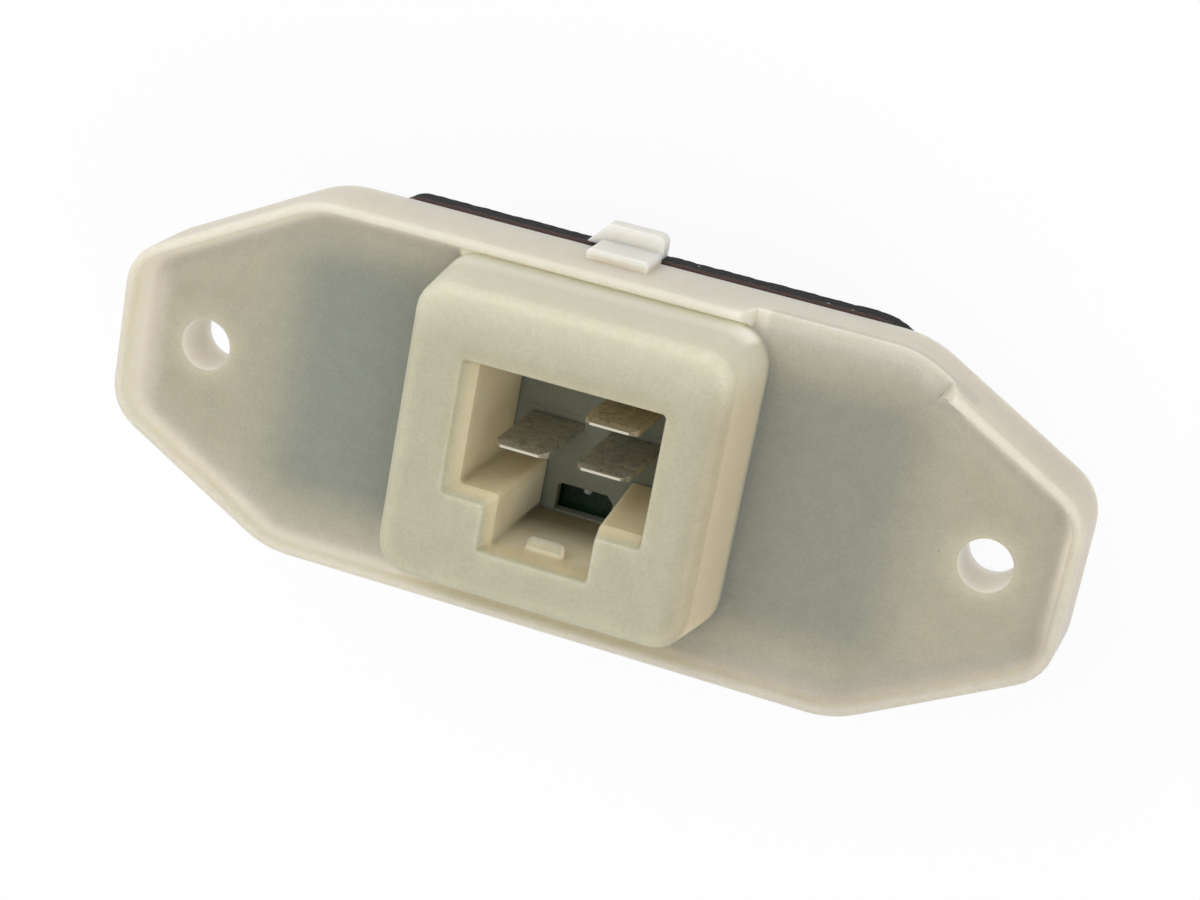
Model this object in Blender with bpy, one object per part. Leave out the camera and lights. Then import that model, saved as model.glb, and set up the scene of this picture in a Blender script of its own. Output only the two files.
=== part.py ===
"""Blower motor resistor: moulded flange with a blade connector, a circuit board and a finned heat sink.

Metres. +Z points out of the connector, +X runs along the flange and +Y points to the tab on its long
edge. The origin is on the foot of the heat sink, straight below the midpoint of the two screw holes.
"""
import math

import bmesh
import bpy
from mathutils import Matrix, Vector

# Gaps shared by all pieces
CLEARANCE = 0.0003
OVERSHOOT = 0.001

# Flange, with its outline taken at the top of the rim
HOLE_SPACING = 0.095
HOLE_DIAMETER = 0.0062
HOLE_CHAMFER = 0.0003
END_MARGIN = 0.00974
FLANGE_WIDTH = 0.04324
SLANT_LENGTH = 0.022
SLANT_WIDTH = 0.012
END_CORNER_RADIUS = 0.006
EDGE_CORNER_RADIUS = 0.012
FLANGE_THICKNESS = 0.0069
FLANGE_DRAFT = 0.0003
BACK_EDGE_RADIUS = 0.0003
RIM_HEIGHT = 0.0031
RIM_WIDTH = 0.00125
RIM_EDGE_RADIUS = 0.0006
RIM_FILLET = 0.0022
FLOOR_WALL = 0.0024
SKIRT_WALL = 0.0022
BOSS_DIAMETER = 0.0115
BOSS_PROUD = 0.001

# Drain gap in the rim, from the long edge round the corner to the slanted edge
DRAIN_START = 0.0169
DRAIN_RUN = 0.0049
DRAIN_FLARE = 0.0012

# Tab on the long edge: a low block on the outer wall, and a plate that it carries behind the flange
TAB_WIDTH = 0.0069
TAB_BLOCK_HEIGHT = 0.00145
TAB_BLOCK_SETBACK = 0.0014
TAB_BLOCK_RADIUS = 0.0005
TAB_BLOCK_LEFT = 0.0004
TAB_HEIGHT = 0.0033
TAB_REACH = 0.0023
TAB_FLARE = 0.0022
TAB_SLANT = 0.0023
TAB_CORNER_RADIUS = 0.001

# Connector shroud, measured at its front face
SHROUD_WIDTH = 0.037
SHROUD_HEIGHT = 0.0351
SHROUD_RISE = 0.00135
SHROUD_REACH = 0.0114
SHROUD_DRAFT = 0.0011
SHROUD_CORNER_RADIUS = 0.004
SHROUD_FRONT_RADIUS = 0.0015
SHROUD_FOOT_RADIUS = 0.0005
SHROUD_WALL = 0.0022
SHROUD_FRONT_WALL = 0.0024
HOLLOW_CORNER_RADIUS = 0.002

# Socket: a wide upper part and a narrower slot for the latch below it
SOCKET_WIDTH = 0.0207
SOCKET_TOP = 0.0092
SOCKET_STEP = 0.004
SLOT_WIDTH = 0.011
SLOT_BOTTOM = 0.0101
SOCKET_DEPTH = 0.01754
LEAD_IN = 0.00145
SLOT_LEAD_IN = 0.00105
LEAD_DEPTH = 0.0018
MOUTH_RADIUS = 0.0004
SOCKET_DRAFT = 0.0003
SOCKET_CORNER_RADIUS = 0.0005
BACK_WALL = 0.0016
TUBE_WALL = 0.0018

# Window and locating rib in the socket's back wall
WINDOW_WIDTH = 0.007
WINDOW_HEIGHT = 0.0034
WINDOW_SILL = 0.00015
WINDOW_CHAMFER = 0.0009
WINDOW_SMALL_CHAMFER = 0.0004
RIB_LENGTH = 0.018
RIB_WIDTH = 0.0004
RIB_HEIGHT = 0.0003
RIB_OFFSET = 0.001

# Latch catch on the floor of the slot
CATCH_WIDTH = 0.0045
CATCH_OFFSET = 0.0003
CATCH_HEIGHT = 0.0017
CATCH_FILLET = 0.0003
CATCH_CORNER_RADIUS = 0.0008
CATCH_START = 0.0033
CATCH_RAMP = 0.0006
CATCH_FALL = 0.001

# Blades of the connector
BLADE_WIDTH = 0.0063
BLADE_THICKNESS = 0.0008
BLADE_PITCH = 0.0097
LOWER_ROW = 0.00075
ROW_SPACING = 0.0054
BLADE_REACH = 0.0135
BLADE_TIP_LENGTH = 0.0012
BLADE_TIP_WIDTH = 0.0046
BLADE_TIP_THICKNESS = 0.0003
TAIL_WIDTH = 0.003
TAIL_PROUD = 0.0015

# Rear box and gasket
BOX_SLANT_LENGTH = 0.007
BOX_SLANT_WIDTH = 0.0045
BOX_CORNER_RADIUS = 0.002
BOX_WALL = 0.002
BOX_EDGE = 0.0004
GASKET_THICKNESS = 0.004
GASKET_SIDE = 0.005
GASKET_END = 0.0042
GASKET_BOSS_GAP = 0.00055
GASKET_LEFT_SLANT_LENGTH = 0.0137
GASKET_LEFT_SLANT_WIDTH = 0.0105
GASKET_LEFT_RADIUS = 0.003
GASKET_RIGHT_SLANT_LENGTH = 0.0097
GASKET_RIGHT_SLANT_WIDTH = 0.009
GASKET_RIGHT_RADIUS = 0.008

# Heat sink
FIN_HEIGHT = 0.018
FIN_PITCH = 0.005
FIN_ROOT = 0.0024
FIN_TIP = 0.0018
FIN_LENGTH = 0.026
FIN_TAPER = 0.001
FIN_TIP_EDGE = 0.0004
SINK_BASE = 0.004
SINK_SCREW_MARGIN = 0.005
SINK_BOSS_DIAMETER = 0.007

# Circuit board and its posts
BOARD_THICKNESS = 0.0016
BOARD_STANDOFF = 0.00116
BOARD_EDGE_GAP = 0.0006
BOARD_NOTCH_RADIUS = 0.001
POST_DIAMETER = 0.005
POST_STEP = 0.01
POST_MARGIN = 0.0045
PIN_DIAMETER = 0.002
PIN_PROUD = 0.0005

# Screws: sink screws in the corner bosses, board screws in two posts, one through the transistor's tab
SINK_SCREW_DIAMETER = 0.0029
SINK_SCREW_LENGTH = 0.0095
SINK_SCREW_HEAD = 0.0052
SINK_SCREW_HEAD_HEIGHT = 0.0019
BOARD_SCREW_DIAMETER = 0.0022
BOARD_SCREW_LENGTH = 0.0065
BOARD_SCREW_HEAD = 0.0042
BOARD_SCREW_HEAD_HEIGHT = 0.0015
TAB_SCREW_DIAMETER = 0.0028
TAB_SCREW_HEAD = 0.005
TAB_SCREW_HEAD_HEIGHT = 0.0018
TAB_SCREW_BITE = 0.0028
WASHER_DIAMETER = 0.006
WASHER_THICKNESS = 0.0005
HOLE_END = 0.0005
RECESS_WIDTH = 0.0007
RECESS_DEPTH = 0.0009
RECESS_SHARE = 0.55

# Power transistor on its pad
PAD_THICKNESS = 0.0004
PAD_MARGIN = 0.0008
PAD_BOSS_GAP = 0.0007
TRANSISTOR_WIDTH = 0.01
TRANSISTOR_BODY_LENGTH = 0.0091
TRANSISTOR_TAB_LENGTH = 0.0062
TRANSISTOR_THICKNESS = 0.0044
TRANSISTOR_TAB_THICKNESS = 0.0013
TRANSISTOR_BODY_DRAFT = 0.0002
TRANSISTOR_END_GAP = 0.002
TRANSISTOR_HEADROOM = 0.001
TAB_HOLE_DIAMETER = 0.0038
TAB_HOLE_MARGIN = 0.0028
LEAD_PITCH = 0.00254
LEAD_WIDTH = 0.0008
LEAD_THICKNESS = 0.0005
LEAD_RUN = 0.0025
LEAD_RISE = 0.0022
LEAD_PROUD = 0.0007

# Small parts on the back of the board
CAPACITOR_DIAMETER = 0.005
CAPACITOR_LENGTH = 0.011
CAPACITOR_END_GAP = 0.006
CAPACITOR_ROLL = 0.0003
CAPACITOR_GROOVE = 0.0012
CAPACITOR_LEAD = 0.0005
CAPACITOR_LEAD_PITCH = 0.002
CAPACITOR_LEAD_RUN = 0.0022
CHIP_WIDTH = 0.0039
CHIP_LENGTH = 0.0049
CHIP_THICKNESS = 0.0015
CHIP_X = -0.008
CHIP_MARGIN = 0.0065
CHIP_LEG_PITCH = 0.00127
CHIP_LEG_WIDTH = 0.0004
CHIP_LEG_THICKNESS = 0.0002
CHIP_LEG_REACH = 0.001
CHIP_LEGS_PER_SIDE = 4
SHUNT_LENGTH = 0.0063
SHUNT_WIDTH = 0.0031
SHUNT_THICKNESS = 0.0009
SHUNT_X = 0.0075
SMALL_PART_LENGTH = 0.002
SMALL_PART_WIDTH = 0.00125
SMALL_RESISTOR_THICKNESS = 0.0005
SMALL_CAPACITOR_THICKNESS = 0.0011
SMALL_PART_PITCH = 0.0036
SMALL_PART_MARGIN = 0.0032
SMALL_PART_END = 0.0004
SMALL_PART_CAP = 0.00005

# Facets
ARC_STEPS = 6
FINE_STEPS = 6
MOUTH_STEPS = 3
HOLE_SEGMENTS = 40
BOSS_SEGMENTS = 32
POST_SEGMENTS = 16
SCREW_SEGMENTS = 16
CAN_SEGMENTS = 20
SMOOTH_ANGLE = math.radians(35)

# Lengths that follow from the sizes above
FLANGE_HALF_LENGTH = HOLE_SPACING / 2 + END_MARGIN
GASKET_HALF_LENGTH = HOLE_SPACING / 2 - BOSS_DIAMETER / 2 - GASKET_BOSS_GAP
BOX_HALF_LENGTH = GASKET_HALF_LENGTH - GASKET_END
INNER_HALF_LENGTH = BOX_HALF_LENGTH - BOX_WALL
SINK_SCREW_X = INNER_HALF_LENGTH - SINK_SCREW_MARGIN
SINK_SCREW_Y = TRANSISTOR_WIDTH / 2 + PAD_MARGIN + PAD_BOSS_GAP + SINK_BOSS_DIAMETER / 2
INNER_HALF_WIDTH = SINK_SCREW_Y + SINK_SCREW_MARGIN
BOX_HALF_WIDTH = INNER_HALF_WIDTH + BOX_WALL
GASKET_HALF_WIDTH = BOX_HALF_WIDTH + GASKET_SIDE
CHIP_Y = CHIP_MARGIN - INNER_HALF_WIDTH
SMALL_PART_Y = INNER_HALF_WIDTH - SMALL_PART_MARGIN
POST_X = SINK_SCREW_X - POST_STEP
POST_Y = INNER_HALF_WIDTH - POST_MARGIN
FINS_PER_SIDE = int((SINK_SCREW_X - SINK_SCREW_HEAD / 2 - CLEARANCE - FIN_ROOT / 2) / FIN_PITCH)
TRANSISTOR_X = TRANSISTOR_END_GAP - INNER_HALF_LENGTH
TAB_HOLE_X = TRANSISTOR_X + TAB_HOLE_MARGIN
LEAD_X = TRANSISTOR_X + TRANSISTOR_TAB_LENGTH + TRANSISTOR_BODY_LENGTH + LEAD_RUN
CAPACITOR_X = INNER_HALF_LENGTH - CAPACITOR_END_GAP - CAPACITOR_LENGTH
CAPACITOR_LEAD_X = CAPACITOR_X - CAPACITOR_LEAD_RUN

# Levels along Z, from the foot upwards
SINK_TOP_Z = FIN_HEIGHT + SINK_BASE
PAD_Z = SINK_TOP_Z + CLEARANCE
TRANSISTOR_Z = PAD_Z + PAD_THICKNESS + CLEARANCE
BOARD_BACK_Z = TRANSISTOR_Z + TRANSISTOR_THICKNESS + TRANSISTOR_HEADROOM
BOARD_FRONT_Z = BOARD_BACK_Z + BOARD_THICKNESS
BACK_WALL_Z = BOARD_FRONT_Z + BOARD_STANDOFF
SOCKET_FLOOR_Z = BACK_WALL_Z + BACK_WALL
SHROUD_Z = SOCKET_FLOOR_Z + SOCKET_DEPTH
FLOOR_Z = SHROUD_Z - SHROUD_REACH
FLANGE_BACK_Z = FLOOR_Z - FLANGE_THICKNESS
RIM_Z = FLOOR_Z + RIM_HEIGHT
UNDER_FLOOR_Z = FLOOR_Z - FLOOR_WALL


def clear_scene():
    """Remove every object that the file starts with."""
    for item in list(bpy.data.objects):
        bpy.data.objects.remove(item)


def make_material(name, colour, roughness, metallic=0.0):
    """Plain surface with one colour."""
    material = bpy.data.materials.new(name)
    material.use_nodes = True
    shader = material.node_tree.nodes["Principled BSDF"]
    shader.inputs["Base Color"].default_value = (*colour, 1.0)
    shader.inputs["Roughness"].default_value = roughness
    shader.inputs["Metallic"].default_value = metallic
    return material


def offset_corners(corners, inset):
    """Corners of a counterclockwise outline after each side has moved inwards."""
    moved = []
    for index, corner in enumerate(corners):
        before = (corner - corners[index - 1]).normalized()
        after = (corners[(index + 1) % len(corners)] - corner).normalized()
        inward = Vector((-before.y - after.y, before.x + after.x))
        moved.append(corner + inward * inset / (1 + before.dot(after)))
    return moved


def rounded(corners, radii, inset=0.0, steps=ARC_STEPS):
    """Outline whose corners are arcs, moved inwards as a whole with its arcs kept concentric."""
    outline = []
    moved = offset_corners(corners, inset)
    for index, corner in enumerate(moved):
        before = (corner - moved[index - 1]).normalized()
        after = (moved[(index + 1) % len(moved)] - corner).normalized()
        turn = math.atan2(before.x * after.y - before.y * after.x, before.dot(after))
        side = math.copysign(1.0, turn)
        radius = max(radii[index] - side * inset, OVERSHOOT / 10)
        start = corner - before * radius * math.tan(abs(turn) / 2)
        centre = start + Vector((-before.y, before.x)) * radius * side
        for step in range(steps + 1):
            outline.append(centre + Matrix.Rotation(turn * step / steps, 2) @ (start - centre))
    return outline


def octagon(half_length, half_width, slant_length, slant_width):
    """Corners of a rectangle with its four corners cut off, counterclockwise from the right end."""
    right = [
        Vector((half_length, slant_width - half_width)),
        Vector((half_length, half_width - slant_width)),
        Vector((half_length - slant_length, half_width)),
    ]
    left = [Vector((-corner.x, corner.y)) for corner in reversed(right[1:])]
    low = [Vector((corner.x, -corner.y)) for corner in (left[0], right[2])]
    return right + left + [Vector((left[1].x, -left[1].y))] + low


def rectangle(half_length, half_width, centre_x=0.0, centre_y=0.0):
    """Corners of a rectangle, counterclockwise."""
    signs = ((1, -1), (1, 1), (-1, 1), (-1, -1))
    return [Vector((centre_x + sx * half_length, centre_y + sy * half_width)) for sx, sy in signs]


def circle(radius, segments, centre_x=0.0, centre_y=0.0):
    """Points of a circle, counterclockwise."""
    angles = [2 * math.pi * step / segments for step in range(segments)]
    return [Vector((centre_x + radius * math.cos(a), centre_y + radius * math.sin(a))) for a in angles]


def loft(name, rings):
    """Closed solid through rings of equal counts, each an outline and its height, lowest first."""
    shape = bmesh.new()
    loops = [[shape.verts.new((spot.x, spot.y, height)) for spot in outline] for outline, height in rings]
    count = len(loops[0])
    for lower, upper in zip(loops, loops[1:]):
        for index in range(count):
            after = (index + 1) % count
            shape.faces.new((lower[index], lower[after], upper[after], upper[index]))
    shape.faces.new(list(reversed(loops[0])))
    shape.faces.new(loops[-1])
    return finish(name, shape)


def prism(name, outline, low, high):
    """Straight solid between two heights."""
    return loft(name, [(outline, low), (outline, high)])


def box(name, low, high):
    """Block between two opposite corners."""
    size = Vector(high) - Vector(low)
    shape = bmesh.new()
    bmesh.ops.create_cube(shape, size=1.0)
    bmesh.ops.scale(shape, vec=size, verts=shape.verts)
    bmesh.ops.translate(shape, vec=(Vector(high) + Vector(low)) / 2, verts=shape.verts)
    return finish(name, shape)


def finish(name, shape):
    """Turn a bmesh into an object with smooth rounds and crisp edges."""
    mesh = bpy.data.meshes.new(name)
    shape.to_mesh(mesh)
    shape.free()
    mesh.shade_smooth()
    mesh.set_sharp_from_angle(angle=SMOOTH_ANGLE)
    item = bpy.data.objects.new(name, mesh)
    bpy.context.scene.collection.objects.link(item)
    return item


def combine(target, tool, operation):
    """Boolean of two solids, which keeps the tool as a hidden wire."""
    modifier = target.modifiers.new(tool.name, "BOOLEAN")
    modifier.operation = operation
    modifier.object = tool
    tool.hide_render = True
    tool.display_type = "WIRE"


def paint(item, material):
    """Give an object its one material."""
    item.data.materials.clear()
    item.data.materials.append(material)
    return item


def corner_signs():
    """The four corners, as signs of X and Y."""
    return [(-1, -1), (1, -1), (1, 1), (-1, 1)]


def flange_outline(inset):
    """Outline of the flange at the top of the rim, moved inwards."""
    corners = octagon(FLANGE_HALF_LENGTH, FLANGE_WIDTH / 2, SLANT_LENGTH, SLANT_WIDTH)
    ends, edges = END_CORNER_RADIUS, EDGE_CORNER_RADIUS
    radii = [ends, ends, edges, edges, ends, ends, edges, edges]
    return rounded(corners, radii, inset)


def box_outline(inset):
    """Outline of the rear box, moved inwards."""
    corners = octagon(BOX_HALF_LENGTH, BOX_HALF_WIDTH, BOX_SLANT_LENGTH, BOX_SLANT_WIDTH)
    return rounded(corners, [BOX_CORNER_RADIUS + BOX_WALL] * len(corners), inset)


def arc(radius, start, end, steps):
    """Points of an arc round the origin, as across and up, between two angles in degrees."""
    turns = [math.radians(start + (end - start) * step / steps) for step in range(steps + 1)]
    return [(radius * math.cos(turn), radius * math.sin(turn)) for turn in turns]


def flange_body():
    """Plate with a drafted outer wall, a rounded rim and a soft fillet down to the tray floor."""
    rings = [
        (BACK_EDGE_RADIUS - FLANGE_DRAFT, FLANGE_BACK_Z),
        (-FLANGE_DRAFT, FLANGE_BACK_Z + BACK_EDGE_RADIUS),
    ]
    edge = RIM_EDGE_RADIUS
    for across, up in arc(edge, 180, 90, ARC_STEPS - 1):
        rings.append((edge + across, RIM_Z - edge + up))
    for across, up in arc(edge, 90, 0, ARC_STEPS - 1):
        rings.append((RIM_WIDTH - edge + across, RIM_Z - edge + up))
    for across, up in arc(RIM_FILLET, 180, 270, FINE_STEPS):
        rings.append((RIM_WIDTH + RIM_FILLET + across, FLOOR_Z + RIM_FILLET + up))
    return loft("housing", [(flange_outline(inset), height) for inset, height in rings])


def drain_outline(flare):
    """Area of the drain gap seen from above, widened by the slope of its two ends."""
    corner = Vector((FLANGE_HALF_LENGTH - SLANT_LENGTH, FLANGE_WIDTH / 2))
    along = Vector((SLANT_LENGTH, -SLANT_WIDTH)).normalized()
    outward = Vector((-along.y, along.x))
    start = DRAIN_START - flare
    end = corner + along * (DRAIN_RUN + flare)
    depth = RIM_WIDTH + RIM_FILLET + OVERSHOOT
    return [
        Vector((start, corner.y - depth)),
        end - outward * depth,
        end + outward * depth,
        Vector((corner.x, corner.y + depth)),
        Vector((start, corner.y + depth)),
    ]


def cut_drain(housing):
    """Gap that lowers the rim to the tray floor round one corner."""
    slope = DRAIN_FLARE * (RIM_HEIGHT + OVERSHOOT) / RIM_HEIGHT
    rings = [(drain_outline(0.0), FLOOR_Z), (drain_outline(slope), RIM_Z + OVERSHOOT)]
    combine(housing, loft("cut_drain", rings), "DIFFERENCE")


def shroud_outline(inset):
    """Outline of the shroud's front face before its edge is rounded, moved inwards."""
    corners = rectangle(SHROUD_WIDTH / 2, SHROUD_HEIGHT / 2, centre_y=SHROUD_RISE)
    return rounded(corners, [SHROUD_CORNER_RADIUS] * len(corners), inset, FINE_STEPS)


def add_shroud(housing):
    """Drafted block of the connector with a rounded front edge and a small fillet at its foot."""
    rings = [(-SHROUD_DRAFT - SHROUD_FOOT_RADIUS, FLOOR_Z - OVERSHOOT)]
    foot = SHROUD_FOOT_RADIUS
    for across, up in arc(foot, 270, 360, ARC_STEPS - 1):
        rings.append((across - foot - SHROUD_DRAFT, FLOOR_Z + foot + up))
    edge = SHROUD_FRONT_RADIUS
    for across, up in arc(edge, 180, 90, FINE_STEPS):
        rings.append((edge + across, SHROUD_Z - edge + up))
    shroud = loft("add_shroud", [(shroud_outline(inset), height) for inset, height in rings])
    combine(housing, shroud, "UNION")


def add_box(housing):
    """Outer walls of the rear box."""
    rings = [(BOX_EDGE, FIN_HEIGHT), (0.0, FIN_HEIGHT + BOX_EDGE), (0.0, FLANGE_BACK_Z + OVERSHOOT)]
    walls = loft("add_box", [(box_outline(inset), height) for inset, height in rings])
    combine(housing, walls, "UNION")


def add_tab(housing):
    """Block on the outer wall, and a plate behind the flange that is slanted at its left side."""
    top = FLANGE_WIDTH / 2 + TAB_BLOCK_HEIGHT
    foot = GASKET_HALF_WIDTH + CLEARANCE
    root = FLANGE_WIDTH / 2 - RIM_WIDTH

    def outline(low):
        half = (TAB_WIDTH + TAB_BLOCK_LEFT) / 2
        corners = rectangle(half, (top - low) / 2, -TAB_BLOCK_LEFT / 2, (top + low) / 2)
        sharp = OVERSHOOT / 10
        return rounded(corners, [sharp, TAB_BLOCK_RADIUS, TAB_BLOCK_RADIUS, sharp])

    rings = [
        (outline(foot), FLANGE_BACK_Z - TAB_REACH / 2),
        (outline(foot), FLANGE_BACK_Z),
        (outline(root), FLANGE_BACK_Z + BACK_EDGE_RADIUS),
        (outline(root), FLOOR_Z - TAB_BLOCK_SETBACK),
    ]
    combine(housing, loft("add_tab_block", rings), "UNION")

    high = FLANGE_WIDTH / 2 + TAB_HEIGHT
    left = -TAB_WIDTH / 2 - TAB_FLARE
    corners = [
        Vector((TAB_WIDTH / 2, foot)),
        Vector((TAB_WIDTH / 2, high)),
        Vector((left + TAB_SLANT, high)),
        Vector((left, foot)),
    ]
    sharp = OVERSHOOT / 10
    plate = rounded(corners, [sharp, TAB_CORNER_RADIUS, TAB_CORNER_RADIUS, sharp])
    combine(housing, prism("add_tab_plate", plate, FLANGE_BACK_Z - TAB_REACH, FLANGE_BACK_Z), "UNION")


def socket_outline(spread, slot_spread, wall=0.0):
    """T shape of the socket; the slot is widened by itself, and its floor by half as much."""
    side = SOCKET_WIDTH / 2 + spread
    slot = SLOT_WIDTH / 2 + slot_spread
    top = SOCKET_TOP + spread
    step = -SOCKET_STEP - max(slot_spread, 0.0)
    bottom = -SLOT_BOTTOM - max(slot_spread, 0.0) / 2
    corners = [(slot, bottom), (slot, step), (side, step), (side, top)]
    corners += [(-x, y) for x, y in reversed(corners)]
    return rounded([Vector(corner) for corner in corners], [SOCKET_CORNER_RADIUS] * len(corners), -wall)


def cut_rear(housing):
    """Hollow behind the tray floor and inside the shroud, round the socket's own walls."""
    core = prism("cut_rear", box_outline(BOX_WALL), FIN_HEIGHT - OVERSHOOT, UNDER_FLOOR_Z)
    across = SHROUD_WIDTH / 2 - SHROUD_WALL
    up = min(SHROUD_HEIGHT / 2 - SHROUD_WALL, INNER_HALF_WIDTH - SHROUD_RISE - OVERSHOOT / 2)
    hollow_outline = rounded(rectangle(across, up, centre_y=SHROUD_RISE), [HOLLOW_CORNER_RADIUS] * 4)
    hollow = prism("cut_hollow", hollow_outline, UNDER_FLOOR_Z - OVERSHOOT, SHROUD_Z - SHROUD_FRONT_WALL)
    combine(core, hollow, "UNION")
    for keep in rear_keeps():
        combine(core, keep, "DIFFERENCE")
    combine(housing, core, "DIFFERENCE")


def rear_keeps():
    """Solids that stay standing in the rear hollow: socket walls, screw bosses, posts and pins."""
    high = SHROUD_Z
    keeps = [prism("keep_socket", socket_outline(0.0, 0.0, TUBE_WALL), BACK_WALL_Z, high)]
    for number, (sx, sy) in enumerate(corner_signs(), 1):
        boss = circle(SINK_BOSS_DIAMETER / 2, POST_SEGMENTS, sx * SINK_SCREW_X, sy * SINK_SCREW_Y)
        keeps.append(prism(f"keep_boss_{number}", boss, SINK_TOP_Z + CLEARANCE, FLOOR_Z))
        post = circle(POST_DIAMETER / 2, POST_SEGMENTS, sx * POST_X, sy * POST_Y)
        keeps.append(prism(f"keep_post_{number}", post, BOARD_FRONT_Z + CLEARANCE, FLOOR_Z))
        if sx == sy:
            pin = circle(PIN_DIAMETER / 2, POST_SEGMENTS, sx * POST_X, sy * POST_Y)
            keeps.append(prism(f"keep_pin_{number}", pin, BOARD_BACK_Z - PIN_PROUD, FLOOR_Z))
    return keeps


def cut_pilots(housing):
    """Screw holes in the corner bosses and in two of the posts."""
    sink_radius = SINK_SCREW_DIAMETER / 2 + CLEARANCE
    sink_end = FIN_HEIGHT - CLEARANCE + SINK_SCREW_LENGTH + HOLE_END
    board_radius = BOARD_SCREW_DIAMETER / 2 + CLEARANCE
    board_end = BOARD_BACK_Z - CLEARANCE + BOARD_SCREW_LENGTH + HOLE_END
    for number, (sx, sy) in enumerate(corner_signs(), 1):
        hole = circle(sink_radius, POST_SEGMENTS, sx * SINK_SCREW_X, sy * SINK_SCREW_Y)
        combine(housing, prism(f"cut_pilot_{number}", hole, SINK_TOP_Z - CLEARANCE, sink_end), "DIFFERENCE")
        if sx != sy:
            hole = circle(board_radius, POST_SEGMENTS, sx * POST_X, sy * POST_Y)
            combine(housing, prism(f"cut_post_{number}", hole, BOARD_FRONT_Z, board_end), "DIFFERENCE")


def cut_ears(housing):
    """Pockets behind the two ears, each round its screw boss, and the bosses' proud ends."""
    below = FLANGE_BACK_Z - OVERSHOOT
    for side, sign in (("left", -1), ("right", 1)):
        pocket = prism(f"cut_ear_{side}", flange_outline(SKIRT_WALL), below, UNDER_FLOOR_Z)
        start = sign * (GASKET_HALF_LENGTH + CLEARANCE)
        end = sign * (FLANGE_HALF_LENGTH + OVERSHOOT)
        low = (min(start, end), -FLANGE_WIDTH, below - OVERSHOOT)
        high = (max(start, end), FLANGE_WIDTH, RIM_Z)
        combine(pocket, box(f"cut_ear_area_{side}", low, high), "INTERSECT")
        post = circle(BOSS_DIAMETER / 2, BOSS_SEGMENTS, sign * HOLE_SPACING / 2)
        keep = prism(f"keep_ear_{side}", post, below - OVERSHOOT, FLOOR_Z)
        combine(pocket, keep, "DIFFERENCE")
        combine(housing, pocket, "DIFFERENCE")
        boss = prism(f"add_boss_{side}", post, FLANGE_BACK_Z - BOSS_PROUD, UNDER_FLOOR_Z + FLOOR_WALL / 2)
        combine(housing, boss, "UNION")


def cut_holes(housing):
    """The two screw holes, with a small chamfer at the tray floor."""
    for side, sign in (("left", -1), ("right", 1)):
        radius = HOLE_DIAMETER / 2
        levels = [
            (radius, FLANGE_BACK_Z - BOSS_PROUD - OVERSHOOT),
            (radius, FLOOR_Z - HOLE_CHAMFER),
            (radius + HOLE_CHAMFER, FLOOR_Z),
            (radius + HOLE_CHAMFER, FLOOR_Z + OVERSHOOT),
        ]
        rings = [(circle(size, HOLE_SEGMENTS, sign * HOLE_SPACING / 2), height) for size, height in levels]
        combine(housing, loft(f"cut_hole_{side}", rings), "DIFFERENCE")


def cut_socket(housing):
    """Socket with a flared and rounded mouth and a slight draft down to its back wall."""
    rings = [
        (socket_outline(-SOCKET_DRAFT, -SOCKET_DRAFT), SOCKET_FLOOR_Z),
        (socket_outline(0.0, 0.0), SHROUD_Z - LEAD_DEPTH),
    ]
    for across, up in arc(MOUTH_RADIUS, 180, 90, MOUTH_STEPS):
        wall = MOUTH_RADIUS + across
        rings.append((socket_outline(LEAD_IN, SLOT_LEAD_IN, wall), SHROUD_Z - MOUTH_RADIUS + up))
    rings.append((socket_outline(LEAD_IN, SLOT_LEAD_IN, MOUTH_RADIUS), SHROUD_Z + OVERSHOOT))
    combine(housing, loft("cut_socket", rings), "DIFFERENCE")


def add_catch(housing):
    """Steep stop on the floor of the slot for the plug's latch, rounded above and filleted at its base."""
    half = CATCH_WIDTH / 2
    side = [(half + CATCH_FILLET, -TUBE_WALL / 2)]
    for across, up in arc(CATCH_FILLET, 270, 180, MOUTH_STEPS):
        side.append((half + CATCH_FILLET + across, CATCH_FILLET + up))
    corner = CATCH_CORNER_RADIUS
    for across, up in arc(corner, 0, 90, MOUTH_STEPS):
        side.append((half - corner + across, CATCH_HEIGHT - corner + up))

    def outline(share):
        right = [(x, up if up < 0 else up * share - OVERSHOOT / 50) for x, up in side]
        points = right + [(-x, up) for x, up in reversed(right)]
        return [Vector((x + CATCH_OFFSET, up - SLOT_BOTTOM)) for x, up in points]

    start = SHROUD_Z - CATCH_START
    peak = start - CATCH_RAMP
    rings = [(outline(0.0), peak - CATCH_FALL), (outline(1.0), peak), (outline(0.0), start)]
    combine(housing, loft("add_catch", rings), "UNION")


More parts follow.
